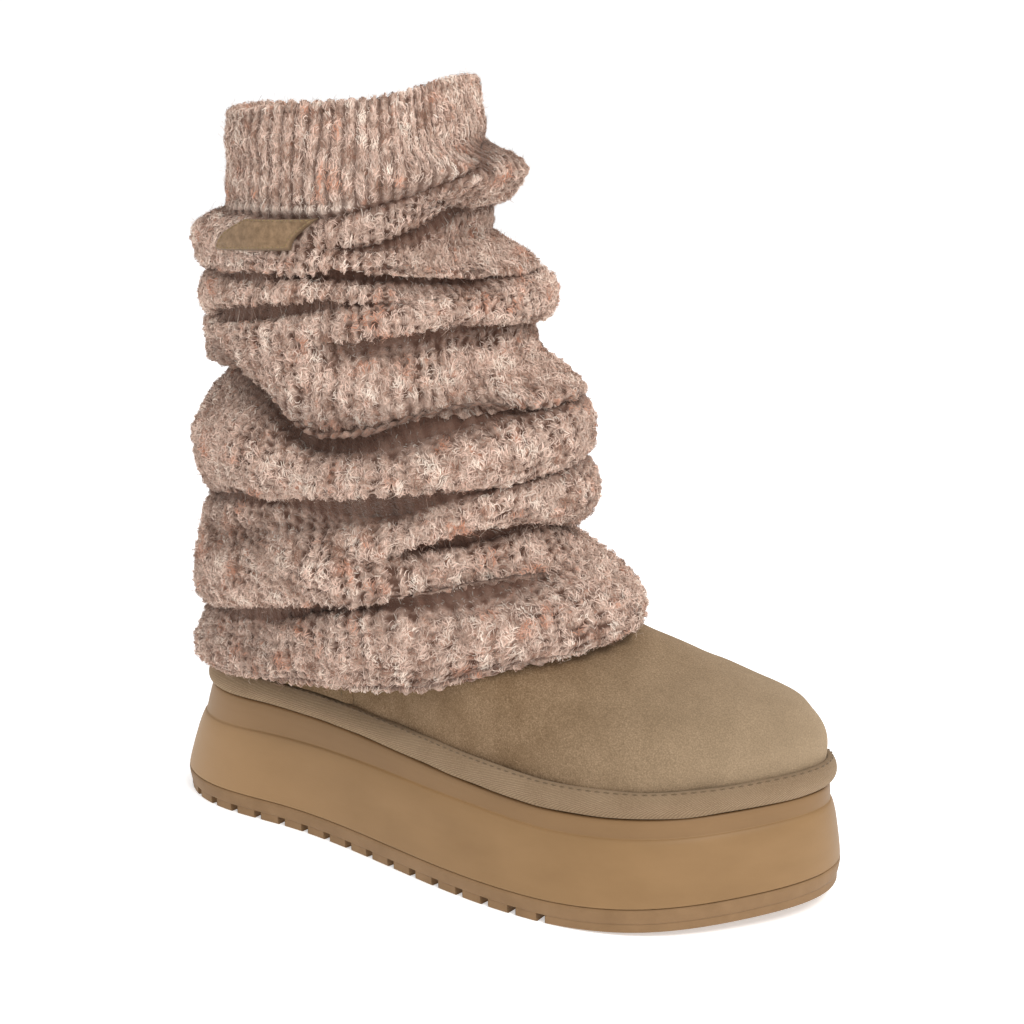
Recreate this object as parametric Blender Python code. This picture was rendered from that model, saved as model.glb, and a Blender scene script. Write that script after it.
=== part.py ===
"""A right mukluk boot: a suede mini boot on a platform sole, under a slouched knit shaft.

The toe points along +X, the wearer's inner side along +Y, and the floor is at z = 0.
Every length is in metres. Tables give shares of the named sizes that they follow.
"""

import math

import bmesh
import bpy
import numpy as np

# Sole
SOLE_LENGTH = 0.280
HEEL_WIDTH = 0.070
WAIST_WIDTH = 0.076
BALL_WIDTH = 0.100
TOE_LEAN = 0.020  # how far the toe's tip lies towards the inner side
SOLE_HEIGHT_HEEL = 0.0452
SOLE_HEIGHT_FORE = 0.0390
TOE_SPRING = 0.0058
OUTSOLE_THICKNESS = 0.0089
OUTSOLE_FLARE = 0.0010
LUG_DEPTH = 0.0034
LUG_WIDTH = 0.0150
LUG_GAP = 0.0034
LUG_TOP_SINK = 0.0010
LUG_SHOULDER = 0.0002
EDGE_LUG_PITCH = 0.0125
CENTRE_LUG_LENGTH = 0.0100
TOE_LUG_START = 0.730  # share of the sole's length from which one lug runs round the toe
MIDSOLE_INSET_SIDE = 0.0081
MIDSOLE_INSET_BACK = 0.0113
MIDSOLE_INSET_TOE = 0.0027
BAND_HEIGHT_HEEL = 0.0130
BAND_HEIGHT_FORE = 0.0065
BAND_STEP = 0.0008
MIDSOLE_FOOT_TUCK = 0.0008
MIDSOLE_BULGE = 0.0004

# Welt and upper
WELT_HEIGHT = 0.0095
WELT_THICKNESS = 0.0034
WELT_BULGE = 0.0016
UPPER_INSET = 0.0038
UPPER_HEIGHT = 0.088
UPPER_WALL = 0.0030
COUNTER_THICKNESS = 0.0013
COUNTER_STANDOFF = 0.0003
COUNTER_REACH = 0.357  # share of the sole's length that the heel counter covers
COUNTER_TOP = 0.55  # share of the upper's height
INSOLE_THICKNESS = 0.0070

# Knit shaft
SHAFT_HEIGHT = 0.220
SHAFT_WIDTH = 0.116
SHAFT_LIFT = 0.0050  # from the welt's top at the heel to the shaft's datum
SHAFT_WALL = 0.0045
THINNEST_HEM = 0.0020
SHAFT_CLEARANCE = 0.0014  # between the shaft's bore and the heel counter
FOLD_DEPTH = 0.0140
FOLD_SAG = 0.30  # how far a roll hangs down, as a share of how far it stands out
LABEL_THICKNESS = 0.0016
LABEL_STANDOFF = 0.0006

GAP = 0.0003

SOLE_SIDES = 64
UPPER_SIDES = 48
SHAFT_SIDES = 50

# The sole's outline, from the back of the heel round the outer side to the toe and back.
# Columns: share of the length, the width that the row follows, side as a share of half that
# width, and share of the toe's lean.
OUTLINE = (
    (0.000, "heel", 0.00, 0.00),
    (0.035, "heel", -0.62, 0.00),
    (0.120, "heel", -0.97, 0.00),
    (0.250, "heel", -1.00, 0.00),
    (0.450, "waist", -1.11, 0.00),
    (0.680, "ball", -1.02, 0.00),
    (0.850, "ball", -0.95, 0.31),
    (0.955, "ball", -0.56, 0.78),
    (1.000, "ball", 0.00, 1.00),
    (0.965, "ball", 0.59, 0.63),
    (0.870, "ball", 0.91, 0.24),
    (0.700, "ball", 0.96, 0.00),
    (0.450, "waist", 0.89, 0.00),
    (0.250, "heel", 0.95, 0.00),
    (0.120, "heel", 0.95, 0.00),
    (0.035, "heel", 0.62, 0.00),
)

# The upper's rings, from the foot of the upper to its hidden ankle collar.
# Columns: rise at the back and at the front as shares of the upper's height, back and front
# end as shares of the sole's length, and the share of the foot outline's width at the heel,
# the middle and the forefoot, then the share of the toe's lean.
UPPER_RINGS = (
    (0.000, 0.000, 0.0515, 0.979, 1.00, 1.00, 1.00, 1.00),
    (0.060, 0.060, 0.0510, 0.983, 1.00, 1.00, 1.00, 1.00),
    (0.115, 0.115, 0.0505, 0.985, 1.01, 1.00, 1.00, 1.00),
    (0.180, 0.180, 0.0505, 0.984, 1.02, 1.01, 1.00, 1.00),
    (0.240, 0.235, 0.0505, 0.978, 1.03, 1.01, 0.98, 1.00),
    (0.300, 0.290, 0.0510, 0.966, 1.04, 1.01, 0.95, 0.98),
    (0.370, 0.355, 0.0530, 0.945, 1.05, 1.00, 0.90, 0.95),
    (0.450, 0.418, 0.0560, 0.905, 1.06, 0.98, 0.81, 0.88),
    (0.530, 0.480, 0.0600, 0.857, 1.08, 0.95, 0.70, 0.78),
    (0.610, 0.552, 0.0660, 0.793, 1.10, 0.92, 0.57, 0.62),
    (0.700, 0.635, 0.0730, 0.718, 1.13, 0.90, 0.45, 0.46),
    (0.790, 0.730, 0.0800, 0.646, 1.17, 0.90, 0.41, 0.32),
    (0.890, 0.840, 0.0870, 0.582, 1.22, 0.92, 0.46, 0.18),
    (1.000, 1.045, 0.0950, 0.512, 1.28, 0.96, 0.57, 0.08),
)

# The shaft's sections without its creases, from below the hem to above the rim.
# Columns: height as a share of the shaft's, back and front end as shares of the sole's
# length, half width as a share of half the shaft's width, and the section's squareness.
SHAFT_SECTIONS = (
    (-0.050, 0.028, 0.765, 0.72, 2.35),
    (0.030, 0.026, 0.757, 0.80, 2.30),
    (0.090, 0.029, 0.752, 0.87, 2.20),
    (0.140, 0.031, 0.752, 0.91, 2.15),
    (0.185, 0.031, 0.751, 0.94, 2.10),
    (0.230, 0.036, 0.726, 0.95, 2.05),
    (0.275, 0.046, 0.652, 0.97, 2.00),
    (0.320, 0.052, 0.646, 1.00, 2.00),
    (0.370, 0.041, 0.668, 1.00, 2.00),
    (0.430, 0.040, 0.664, 1.02, 2.00),
    (0.500, 0.055, 0.660, 1.00, 2.00),
    (0.550, 0.064, 0.650, 0.94, 2.00),
    (0.590, 0.065, 0.585, 0.91, 2.00),
    (0.690, 0.063, 0.594, 0.92, 2.00),
    (0.740, 0.062, 0.575, 0.89, 2.00),
    (0.785, 0.064, 0.520, 0.86, 2.00),
    (0.825, 0.110, 0.518, 0.82, 2.00),
    (0.870, 0.116, 0.542, 0.80, 2.00),
    (0.910, 0.116, 0.560, 0.78, 2.00),
    (0.945, 0.115, 0.497, 0.77, 2.00),
    (0.970, 0.115, 0.487, 0.76, 2.00),
    (1.100, 0.115, 0.480, 0.76, 2.00),
)

# Azimuths of the crease columns below, in degrees: 0 is the toe, 90 the inner side.
CREASE_AZIMUTHS = (-180, -135, -110, -90, -70, -50, -30, -10, 20, 60, 100, 140)

# One row a crease, from the hem up to the rim: its name, its height as a percentage of the
# shaft's at each azimuth, and its depth there as a percentage of the fold depth.
CREASES = (
    ("hem", (-1.5, -1, 1.5, 3.5, 6.5, 11.5, 14, 16, 17, 12, 5, 0),
     (20, 20, 25, 30, 30, 30, 30, 30, 30, 30, 30, 25)),
    ("above the hem", (11, 11, 14, 18.5, 21.5, 24, 25.5, 25.5, 25.5, 23, 18.5, 14),
     (50, 50, 57, 50, 43, 43, 30, 7, 0, 20, 36, 43)),
    ("front tuck", (23, 23, 24, 26, 28, 31, 32.5, 33.5, 30.5, 29, 27, 24.5),
     (0, 0, 0, 0, 21, 57, 71, 78, 86, 57, 10, 0)),
    ("under the great roll", (32, 32.5, 35, 36, 37, 39, 41, 42.5, 43, 40, 37, 34),
     (57, 57, 30, 36, 43, 43, 50, 50, 43, 43, 36, 43)),
    ("over the great roll", (54.5, 55, 52, 45.5, 46, 49.5, 52, 53, 53.5, 52, 51, 53),
     (105, 122, 118, 107, 93, 80, 68, 57, 36, 43, 57, 78)),
    ("middle front", (60, 61.5, 61.5, 61, 62, 64, 65.5, 65.5, 65, 63, 61.5, 60.5),
     (0, 0, 0, 0, 21, 50, 64, 64, 43, 50, 36, 14)),
    ("middle back", (63.5, 64, 66, 68, 69.5, 69.5, 70, 70, 70, 69, 67, 64.5),
     (50, 50, 36, 36, 28, 7, 0, 0, 0, 0, 21, 43)),
    ("under the label", (72, 72, 72, 73, 74, 74, 73.5, 73, 73, 74.5, 73, 71.5),
     (57, 50, 36, 36, 50, 71, 79, 71, 43, 50, 43, 57)),
    ("front under the cuff", (76.5, 76.5, 76.5, 77, 77.5, 78, 80.5, 83.5, 84, 81, 79.5, 77.5),
     (0, 0, 0, 0, 7, 36, 57, 64, 57, 43, 28, 7)),
    ("cuff", (81.5, 81.5, 82, 82, 82.5, 85, 88.5, 91.5, 93.5, 91, 87, 83.5),
     (21, 21, 21, 21, 21, 28, 28, 28, 28, 21, 21, 21)),
    ("rim", (99.8, 99, 99.8, 100.4, 100.9, 101.3, 102.4, 104, 104.3, 102.9, 99.9, 99.5),
     (10, 10, 10, 10, 10, 10, 10, 10, 10, 10, 10, 10)),
)

# Where each ring of a roll lies between the creases below and above it.
ROLL_STEPS = (0.0, 0.16, 0.42, 0.72)

# Where each ring of the shaft's bore lies between the hem and the rim.
BORE_STEPS = (0.0, 0.08, 0.16, 0.24, 0.31, 0.365, 0.45, 0.55, 0.66, 0.80, 1.0)

# The label's corners on the shaft: azimuth in degrees, and height as a share.
LABEL_CORNERS = {
    "top_back": (-106, 0.814),
    "top_front": (-72, 0.824),
    "low_back": (-118, 0.759),
    "low_front": (-84, 0.771),
}

# Colour, roughness.
MATERIALS = {
    "outsole": ((0.376, 0.235, 0.122), 0.62),
    "midsole": ((0.396, 0.254, 0.137), 0.55),
    "welt": ((0.376, 0.287, 0.184), 0.85),
    "upper": ((0.309, 0.224, 0.137), 0.90),
    "heel_counter": ((0.297, 0.214, 0.130), 0.90),
    "insole": ((0.700, 0.640, 0.550), 0.95),
    "knit_shaft": ((0.510, 0.400, 0.350), 0.95),
    "label_patch": ((0.275, 0.170, 0.098), 0.60),
}


def smooth(knots, values, at):
    """A smooth curve through the values at the knots, read at the given places."""
    knots = np.asarray(knots, float)
    values = np.asarray(values, float)
    at = np.clip(np.asarray(at, float), knots[0], knots[-1])
    slopes = np.gradient(values, knots, axis=0)
    index = np.clip(np.searchsorted(knots, at, side="right") - 1, 0, len(knots) - 2)
    span = knots[index + 1] - knots[index]
    share = (at - knots[index]) / span
    if values.ndim > 1:
        span = span[..., None]
        share = share[..., None]
    rest = 1 - share
    return (
        values[index] * rest * rest * (1 + 2 * share)
        + values[index + 1] * share * share * (3 - 2 * share)
        + slopes[index] * span * share * rest * rest
        - slopes[index + 1] * span * share * share * rest
    )


def smooth_round(azimuths, values, at):
    """The same for a row given at azimuths right round the shaft."""
    knots = np.asarray(azimuths, float)
    turns = np.concatenate((knots - 360, knots, knots + 360))
    return smooth(turns, np.tile(values, 3), at)


def eased(share):
    """0 below 0, 1 above 1 and a soft step between."""
    share = np.clip(share, 0, 1)
    return share * share * (3 - 2 * share)


def closed_curve(points, count):
    """A closed cubic spline through the points, as an even run of count points."""
    points = np.asarray(points, float)
    following = np.roll(points, -1, axis=0)
    spans = np.linalg.norm(following - points, axis=1)
    before = np.roll(spans, 1)
    rises = (following - points) / spans[:, None]
    size = len(points)
    system = np.zeros((size, size))
    for i in range(size):
        system[i, i - 1] += spans[i]
        system[i, i] += 2 * (spans[i] + before[i])
        system[i, (i + 1) % size] += before[i]
    sides = 3 * (spans[:, None] * np.roll(rises, 1, axis=0) + before[:, None] * rises)
    slopes = np.linalg.solve(system, sides)
    starts = np.concatenate(([0], np.cumsum(spans)))
    rounded = np.vstack((points, points[:1]))
    rounded_slopes = np.vstack((slopes, slopes[:1]))
    places = np.linspace(0, starts[-1], count, endpoint=False)
    index = np.clip(np.searchsorted(starts, places, side="right") - 1, 0, size - 1)
    span = spans[index][:, None]
    share = ((places - starts[index]) / spans[index])[:, None]
    rest = 1 - share
    return (
        rounded[index] * rest * rest * (1 + 2 * share)
        + rounded[index + 1] * share * share * (3 - 2 * share)
        + rounded_slopes[index] * span * share * rest * rest
        - rounded_slopes[index + 1] * span * share * share * rest
    )


def outward(outline):
    """The unit normals of an outline that runs from the heel round the outer side."""
    ahead = np.roll(outline, -1, axis=0) - np.roll(outline, 1, axis=0)
    normals = np.column_stack((ahead[:, 1], -ahead[:, 0]))
    return normals / np.linalg.norm(normals, axis=1)[:, None]


def inset(outline, side, back, toe):
    """The outline moved inwards by one distance at the sides, one at the back, one at the toe."""
    normals = outward(outline)
    distance = (
        side
        + (back - side) * np.clip(-normals[:, 0], 0, 1) ** 2 * (outline[:, 0] < 0)
        + (toe - side) * np.clip(normals[:, 0], 0, 1) ** 2 * (outline[:, 0] > 0)
    )
    return outline - normals * distance[:, None]


def paired(outline, count):
    """count points of the outline, with points i and count - i across from each other."""
    back = int(np.argmin(outline[:, 0]))
    ring = np.roll(outline, -back, axis=0)
    tip = int(np.argmax(ring[:, 0]))
    outer = ring[: tip + 1]
    inner = np.vstack((ring[tip:], ring[:1]))[::-1]
    angles = np.linspace(0, math.pi, count // 2 + 1)
    shares = (1 - np.cos(angles)) / 2
    xs = outer[0, 0] + (outer[-1, 0] - outer[0, 0]) * shares
    outer_ys = np.interp(xs, outer[:, 0], outer[:, 1])
    inner_ys = np.interp(xs, inner[:, 0], inner[:, 1])
    first = np.column_stack((xs, outer_ys))
    second = np.column_stack((xs, inner_ys))[1:-1][::-1]
    return np.vstack((first, second))


def ground_outline():
    """The sole's outline on the floor, finely sampled."""
    halves = {"heel": HEEL_WIDTH / 2, "waist": WAIST_WIDTH / 2, "ball": BALL_WIDTH / 2}
    points = [
        ((along - 0.5) * SOLE_LENGTH, side * halves[width] + lean * TOE_LEAN)
        for along, width, side, lean in OUTLINE
    ]
    return closed_curve(points, 720)


def along_share(x):
    """How far x lies along the sole, from 0 at the heel to 1 at the toe."""
    return np.asarray(x) / SOLE_LENGTH + 0.5


def spring(x):
    """How high the sole's underside has risen from the floor at x."""
    return TOE_SPRING * np.clip((along_share(x) - 0.72) / 0.28, 0, None) ** 1.7


def midsole_top(x):
    """The height of the midsole's top, on which the upper and the insole stand."""
    drop = np.clip((along_share(x) - 0.2) / 0.5, 0, 1)
    return SOLE_HEIGHT_HEEL + (SOLE_HEIGHT_FORE - SOLE_HEIGHT_HEEL) * drop + spring(x)


def band_height(x):
    """The height of the stepped band under the welt at x."""
    drop = np.clip(along_share(x) / 0.6, 0, 1)
    return BAND_HEIGHT_HEEL + (BAND_HEIGHT_FORE - BAND_HEIGHT_HEEL) * drop


def at_height(outline, heights):
    """A ring of the outline's points at the given heights."""
    return np.column_stack((outline, np.broadcast_to(heights, len(outline))))


def loft(name, rings, caps=False, wrapped=False):
    """An object whose skin runs through closed rings of as many points each.

    With caps, the first and last ring are closed by strips across them. With wrapped, the
    last ring joins the first, so that the skin is a closed tube.
    """
    count = len(rings[0])
    vertices = [tuple(point) for ring in rings for point in ring]
    pairs = [(i, i + 1) for i in range(len(rings) - 1)]
    if wrapped:
        pairs.append((len(rings) - 1, 0))
    faces = []
    for low, high in pairs:
        for i in range(count):
            j = (i + 1) % count
            faces.append((low * count + i, low * count + j, high * count + j, high * count + i))
    if caps:
        for base in (0, (len(rings) - 1) * count):
            for i in range(count // 2):
                corners = (i, i + 1, (count - i - 1) % count, (count - i) % count)
                faces.append(tuple(base + c for c in dict.fromkeys(corners)))
    return solid(name, vertices, faces)


def solid(name, vertices, faces):
    """A mesh object with its faces pointing out, shaded smooth but for its sharp edges."""
    mesh = bpy.data.meshes.new(name)
    mesh.from_pydata(vertices, [], faces)
    shape = bmesh.new()
    shape.from_mesh(mesh)
    bmesh.ops.recalc_face_normals(shape, faces=shape.faces)
    shape.to_mesh(mesh)
    shape.free()
    mesh.shade_smooth()
    mesh.set_sharp_from_angle(angle=math.radians(40))
    piece = bpy.data.objects.new(name, mesh)
    bpy.context.scene.collection.objects.link(piece)
    return piece


def finish(piece):
    """Gives a piece its own material."""
    colour, roughness = MATERIALS[piece.name]
    material = bpy.data.materials.new(piece.name)
    material.use_nodes = True
    shader = material.node_tree.nodes["Principled BSDF"]
    shader.inputs["Base Color"].default_value = (*colour, 1)
    shader.inputs["Roughness"].default_value = roughness
    shader.inputs["Metallic"].default_value = 0
    piece.data.materials.append(material)
    return piece


def lug(outer, inner):
    """The corners and faces of one lug between two runs of points on the floor."""
    run = len(outer)
    footprint = np.vstack((outer, inner[::-1]))
    low = at_height(footprint, spring(footprint[:, 0]))
    high = at_height(footprint, spring(footprint[:, 0]) + LUG_DEPTH + LUG_TOP_SINK)
    size = len(footprint)
    faces = [(i, (i + 1) % size, size + (i + 1) % size, size + i) for i in range(size)]
    for base in (0, size):
        for i in range(run - 1):
            faces.append((base + i, base + i + 1, base + size - i - 2, base + size - i - 1))
    return np.vstack((low, high)), faces


def lug_blocks():
    """The footprints of all lugs, as an outer and an inner run of points each."""
    fine = ground_outline()
    inner = inset(fine, LUG_WIDTH, LUG_WIDTH, LUG_WIDTH)
    steps = np.linalg.norm(np.roll(fine, -1, axis=0) - fine, axis=1)
    travelled = np.concatenate(([0], np.cumsum(steps)))[:-1]
    whole = steps.sum()

    def run(start, end, count):
        places = np.linspace(start, end, count)
        sides = []
        for line in (fine, inner):
            xs = np.interp(places, travelled, line[:, 0], period=whole)
            ys = np.interp(places, travelled, line[:, 1], period=whole)
            sides.append(np.column_stack((xs, ys)))
        return sides

    blocks = []
    in_toe = np.flatnonzero(along_share(fine[:, 0]) > TOE_LUG_START)
    toe_outer = travelled[in_toe[0]]
    toe_inner = travelled[in_toe[-1]]
    blocks.append(run(toe_outer, toe_inner, 28))
    for start, end in ((0, toe_outer), (toe_inner, whole)):
        count = round((end - start) / EDGE_LUG_PITCH)
        pitch = (end - start - LUG_GAP) / count
        for i in range(count):
            first = start + LUG_GAP + i * pitch
            blocks.append(run(first, first + pitch - LUG_GAP, 3))
    return blocks, inner


def centre_blocks(inner):
    """Bars across the middle of the tread, inside the edge lugs."""
    blocks = []
    back = int(np.argmin(inner[:, 0]))
    ring = np.roll(inner, -back, axis=0)
    tip = int(np.argmax(ring[:, 0]))
    outer_side = ring[: tip + 1]
    inner_side = np.vstack((ring[tip:], ring[:1]))[::-1]
    first = ring[0, 0] + 2 * LUG_GAP
    last = ring[tip, 0] - 2 * LUG_GAP - CENTRE_LUG_LENGTH
    count = int((last - first) / (CENTRE_LUG_LENGTH + LUG_GAP)) + 1
    for i in range(count):
        xs = first + (last - first) * i / (count - 1) + np.array((0, CENTRE_LUG_LENGTH))
        low = np.interp(xs, outer_side[:, 0], outer_side[:, 1]) + LUG_GAP
        high = np.interp(xs, inner_side[:, 0], inner_side[:, 1]) - LUG_GAP
        if np.min(high - low) > LUG_GAP:
            blocks.append([np.column_stack((xs, low)), np.column_stack((xs, high))])
    return blocks


def make_outsole():
    """The rubber layer: a plate with lugs fused under it."""
    outline = paired(ground_outline(), SOLE_SIDES)
    flared = inset(outline, -OUTSOLE_FLARE, -OUTSOLE_FLARE, -OUTSOLE_FLARE)
    under = spring(outline[:, 0])
    plate = loft(
        "outsole",
        [
            at_height(inset(outline, -LUG_SHOULDER, -LUG_SHOULDER, -LUG_SHOULDER), under + LUG_DEPTH),
            at_height(flared, under + OUTSOLE_THICKNESS * 0.75),
            at_height(flared, under + OUTSOLE_THICKNESS),
        ],
        caps=True,
    )
    edge_blocks, inner = lug_blocks()
    vertices = []
    faces = []
    for outer_run, inner_run in edge_blocks + centre_blocks(inner):
        points, sides = lug(outer_run, inner_run)
        faces += [tuple(len(vertices) + corner for corner in side) for side in sides]
        vertices += [tuple(point) for point in points]
    lugs = solid("outsole_lugs", vertices, faces)
    lugs.hide_render = True
    lugs.display_type = "WIRE"
    union = plate.modifiers.new("lugs", "BOOLEAN")
    union.operation = "UNION"
    union.object = lugs
    return plate


def midsole_outlines():
    """The platform's outline at its foot and at its top."""
    outline = paired(ground_outline(), SOLE_SIDES)
    foot = inset(outline, -OUTSOLE_FLARE, -OUTSOLE_FLARE, -OUTSOLE_FLARE)
    top = inset(outline, MIDSOLE_INSET_SIDE, MIDSOLE_INSET_BACK, MIDSOLE_INSET_TOE)
    return foot, top


def make_midsole():
    """The flared platform with its stepped band."""
    foot, top = midsole_outlines()
    low = spring(foot[:, 0]) + OUTSOLE_THICKNESS + GAP
    high = midsole_top(top[:, 0])
    step = 1 - band_height(top[:, 0]) / (high - low)

    def wall(share, tuck):
        share = np.broadcast_to(share, len(foot))[:, None]
        ring = foot + (top - foot) * share - outward(foot) * tuck
        return at_height(ring, low + (high - low) * share[:, 0])

    rings = [
        wall(0.0, MIDSOLE_FOOT_TUCK),
        wall(0.03, 0.0),
        wall(step * 0.5, -MIDSOLE_BULGE),
        wall(step - 0.02, 0.0),
        wall(step, BAND_STEP),
        wall(0.97, BAND_STEP * 0.5),
        wall(1.0, BAND_STEP),
    ]
    return loft("midsole", rings, caps=True)


def upper_rings(levels, count):
    """Rings of the upper's outer surface at levels from 0, its foot, to 1, its collar."""
    top = inset(ground_outline(), MIDSOLE_INSET_SIDE, MIDSOLE_INSET_BACK, MIDSOLE_INSET_TOE)
    foot = paired(inset(top, UPPER_INSET, UPPER_INSET, UPPER_INSET), count)
    low, high = foot[:, 0].min(), foot[:, 0].max()
    share = (foot[:, 0] - low) / (high - low)
    lean_line = TOE_LEAN * eased((share - 0.55) / 0.45)
    knots = np.linspace(0, 1, len(UPPER_RINGS))
    rings = []
    for level in levels:
        row = smooth(knots, UPPER_RINGS, level)
        rise_back, rise_front, back, front, heel, middle, fore, lean = row
        x = (back + (front - back) * share - 0.5) * SOLE_LENGTH
        width = np.where(
            share < 0.5,
            heel + (middle - heel) * eased(share / 0.5),
            middle + (fore - middle) * eased((share - 0.5) / 0.45),
        )
        y = lean_line * lean + (foot[:, 1] - lean_line) * width
        rise = (rise_back + (rise_front - rise_back) * share) * UPPER_HEIGHT
        rings.append(np.column_stack((x, y, midsole_top(x) + GAP + rise)))
    return np.array(rings)


def upper_surface(levels, count, offset=0.0):
    """The same rings pushed out, or in, by offset."""
    nearby = 0.01
    levels = np.asarray(levels, float)
    grid = upper_rings(levels, count)
    above = upper_rings(np.minimum(levels + nearby, 1), count)
    below = upper_rings(np.maximum(levels - nearby, 0), count)
    around = np.roll(grid, -1, axis=1) - np.roll(grid, 1, axis=1)
    normals = np.cross(around, above - below)
    return grid + normals / np.linalg.norm(normals, axis=2)[:, :, None] * offset


def level_at(height):
    """The upper's level at a height above its foot."""
    rises = [row[0] for row in UPPER_RINGS]
    return np.interp(height / UPPER_HEIGHT, rises, np.linspace(0, 1, len(rises)))


def make_upper():
    """The hollow suede mini boot."""
    levels = np.linspace(0, 1, 13)
    outer = upper_surface(levels, UPPER_SIDES)
    inner = upper_surface(levels[::2], UPPER_SIDES, -UPPER_WALL)
    inner[0, :, 2] = outer[0, :, 2]
    inner[-1, :, 2] = outer[-1, :, 2]
    return loft("upper", list(outer) + list(inner[::-1]), wrapped=True)


def make_welt():
    """The tape that binds the foot of the upper and bulges a little over the midsole's edge."""
    # Share of the height, and distance from the upper.
    profile = (
        (0.00, GAP),
        (0.00, WELT_THICKNESS - WELT_BULGE / 2),
        (0.25, WELT_THICKNESS + WELT_BULGE * 0.7),
        (0.60, WELT_THICKNESS + WELT_BULGE * 0.5),
        (0.90, WELT_THICKNESS * 0.8),
        (1.00, WELT_THICKNESS * 0.5),
        (1.00, GAP),
        (0.50, GAP),
    )
    rings = []
    for share, distance in profile:
        ring = upper_rings([level_at(share * WELT_HEIGHT)], SOLE_SIDES)[0]
        seat = midsole_top(ring[:, 0])
        ring[:, :2] += outward(ring[:, :2]) * distance
        ring[:, 2] += midsole_top(ring[:, 0]) - seat
        rings.append(ring)
    return loft("welt", rings, wrapped=True)


def slab(name, under, over):
    """A closed plate between two grids of as many rows and columns."""
    rows, columns = under.shape[:2]
    vertices = [tuple(point) for grid in (under, over) for row in grid for point in row]
    faces = []

    def corner(side, row, column):
        return side * rows * columns + row * columns + column

    for side in (0, 1):
        for row in range(rows - 1):
            for column in range(columns - 1):
                faces.append(
                    (
                        corner(side, row, column),
                        corner(side, row, column + 1),
                        corner(side, row + 1, column + 1),
                        corner(side, row + 1, column),
                    )
                )
    border = [(0, column) for column in range(columns)]
    border += [(row, columns - 1) for row in range(1, rows)]
    border += [(rows - 1, column) for column in range(columns - 2, -1, -1)]
    border += [(row, 0) for row in range(rows - 2, 0, -1)]
    for here, there in zip(border, border[1:] + border[:1]):
        faces.append((corner(0, *here), corner(0, *there), corner(1, *there), corner(1, *here)))
    return solid(name, vertices, faces)


def make_heel_counter():
    """The overlay round the heel, between two offsets of the upper's own surface."""
    count = UPPER_SIDES
    levels = np.linspace(level_at(WELT_HEIGHT + 2 * GAP), level_at(COUNTER_TOP * UPPER_HEIGHT), 6)
    foot = upper_rings([0], count)[0]
    half = int(np.count_nonzero(along_share(foot[:, 0]) < COUNTER_REACH)) // 2
    columns = np.arange(-half, half + 1)
    under = upper_surface(levels, count, COUNTER_STANDOFF)[:, columns]
    over = upper_surface(levels, count, COUNTER_STANDOFF + COUNTER_THICKNESS)[:, columns]
    return slab("heel_counter", under, over)


def make_insole():
    """The sheepskin footbed, inside the upper and on the midsole."""
    levels = (0, level_at(INSOLE_THICKNESS))
    low, high = upper_surface(levels, UPPER_SIDES, -UPPER_WALL - 2 * GAP)
    low[:, 2] = midsole_top(low[:, 0]) + GAP
    high[:, 2] = midsole_top(high[:, 0]) + INSOLE_THICKNESS
    return loft("insole", [low, high], caps=True)


def shaft_point(azimuths, heights, recess):
    """Points of the knit at azimuths in degrees and heights as shares of the shaft's."""
    back, front, half, squareness = np.moveaxis(
        smooth([row[0] for row in SHAFT_SECTIONS], [row[1:] for row in SHAFT_SECTIONS], heights),
        -1,
        0,
    )
    cosine = np.cos(np.radians(azimuths))
    sine = np.sin(np.radians(azimuths))
    depth = (front - back) / 2 * SOLE_LENGTH
    width = half * SHAFT_WIDTH / 2
    away = np.stack((cosine / depth, sine / width), axis=-1)
    away /= np.linalg.norm(away, axis=-1)[..., None]
    x = ((front + back) / 2 - 0.5) * SOLE_LENGTH
    x = x + depth * np.sign(cosine) * np.abs(cosine) ** (2 / squareness)
    y = width * np.sign(sine) * np.abs(sine) ** (2 / squareness)
    base = SOLE_HEIGHT_HEEL + WELT_HEIGHT + SHAFT_LIFT
    z = base + heights * SHAFT_HEIGHT + 0 * x
    return np.stack((x - away[..., 0] * recess, y - away[..., 1] * recess, z), axis=-1)


def crease_lines(azimuths):
    """Each crease's height share and its depth at the azimuths, from the hem up."""
    heights = [smooth_round(CREASE_AZIMUTHS, row[1], azimuths) / 100 for row in CREASES]
    depths = [smooth_round(CREASE_AZIMUTHS, row[2], azimuths) / 100 for row in CREASES]
    return np.array(heights), np.clip(depths, 0, None) * FOLD_DEPTH


def shaft_rings(azimuths, steps):
    """The knit's outer rings: each roll between two creases, round and hanging a little."""
    heights, depths = crease_lines(azimuths)
    rings = []
    last = len(CREASES) - 2
    for roll in range(last + 1):
        for step in list(steps) + ([1.0] if roll == last else []):
            height = heights[roll] + (heights[roll + 1] - heights[roll]) * step
            nearest = depths[roll] if step < 0.5 else depths[roll + 1]
            shared = depths[roll] + (depths[roll + 1] - depths[roll]) * step
            recess = nearest * (1 - math.sqrt(1 - abs(1 - 2 * step) ** 2))
            sag = FOLD_SAG * np.clip(shared - recess, 0, None) / SHAFT_HEIGHT
            ring = shaft_point(azimuths, height, recess)
            ring[:, 2] -= sag * SHAFT_HEIGHT
            rings.append(ring)
    return np.array(rings)


def shaft_axis():
    """Where the shaft's axis stands, along X."""
    return -0.16 * SOLE_LENGTH


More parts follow.
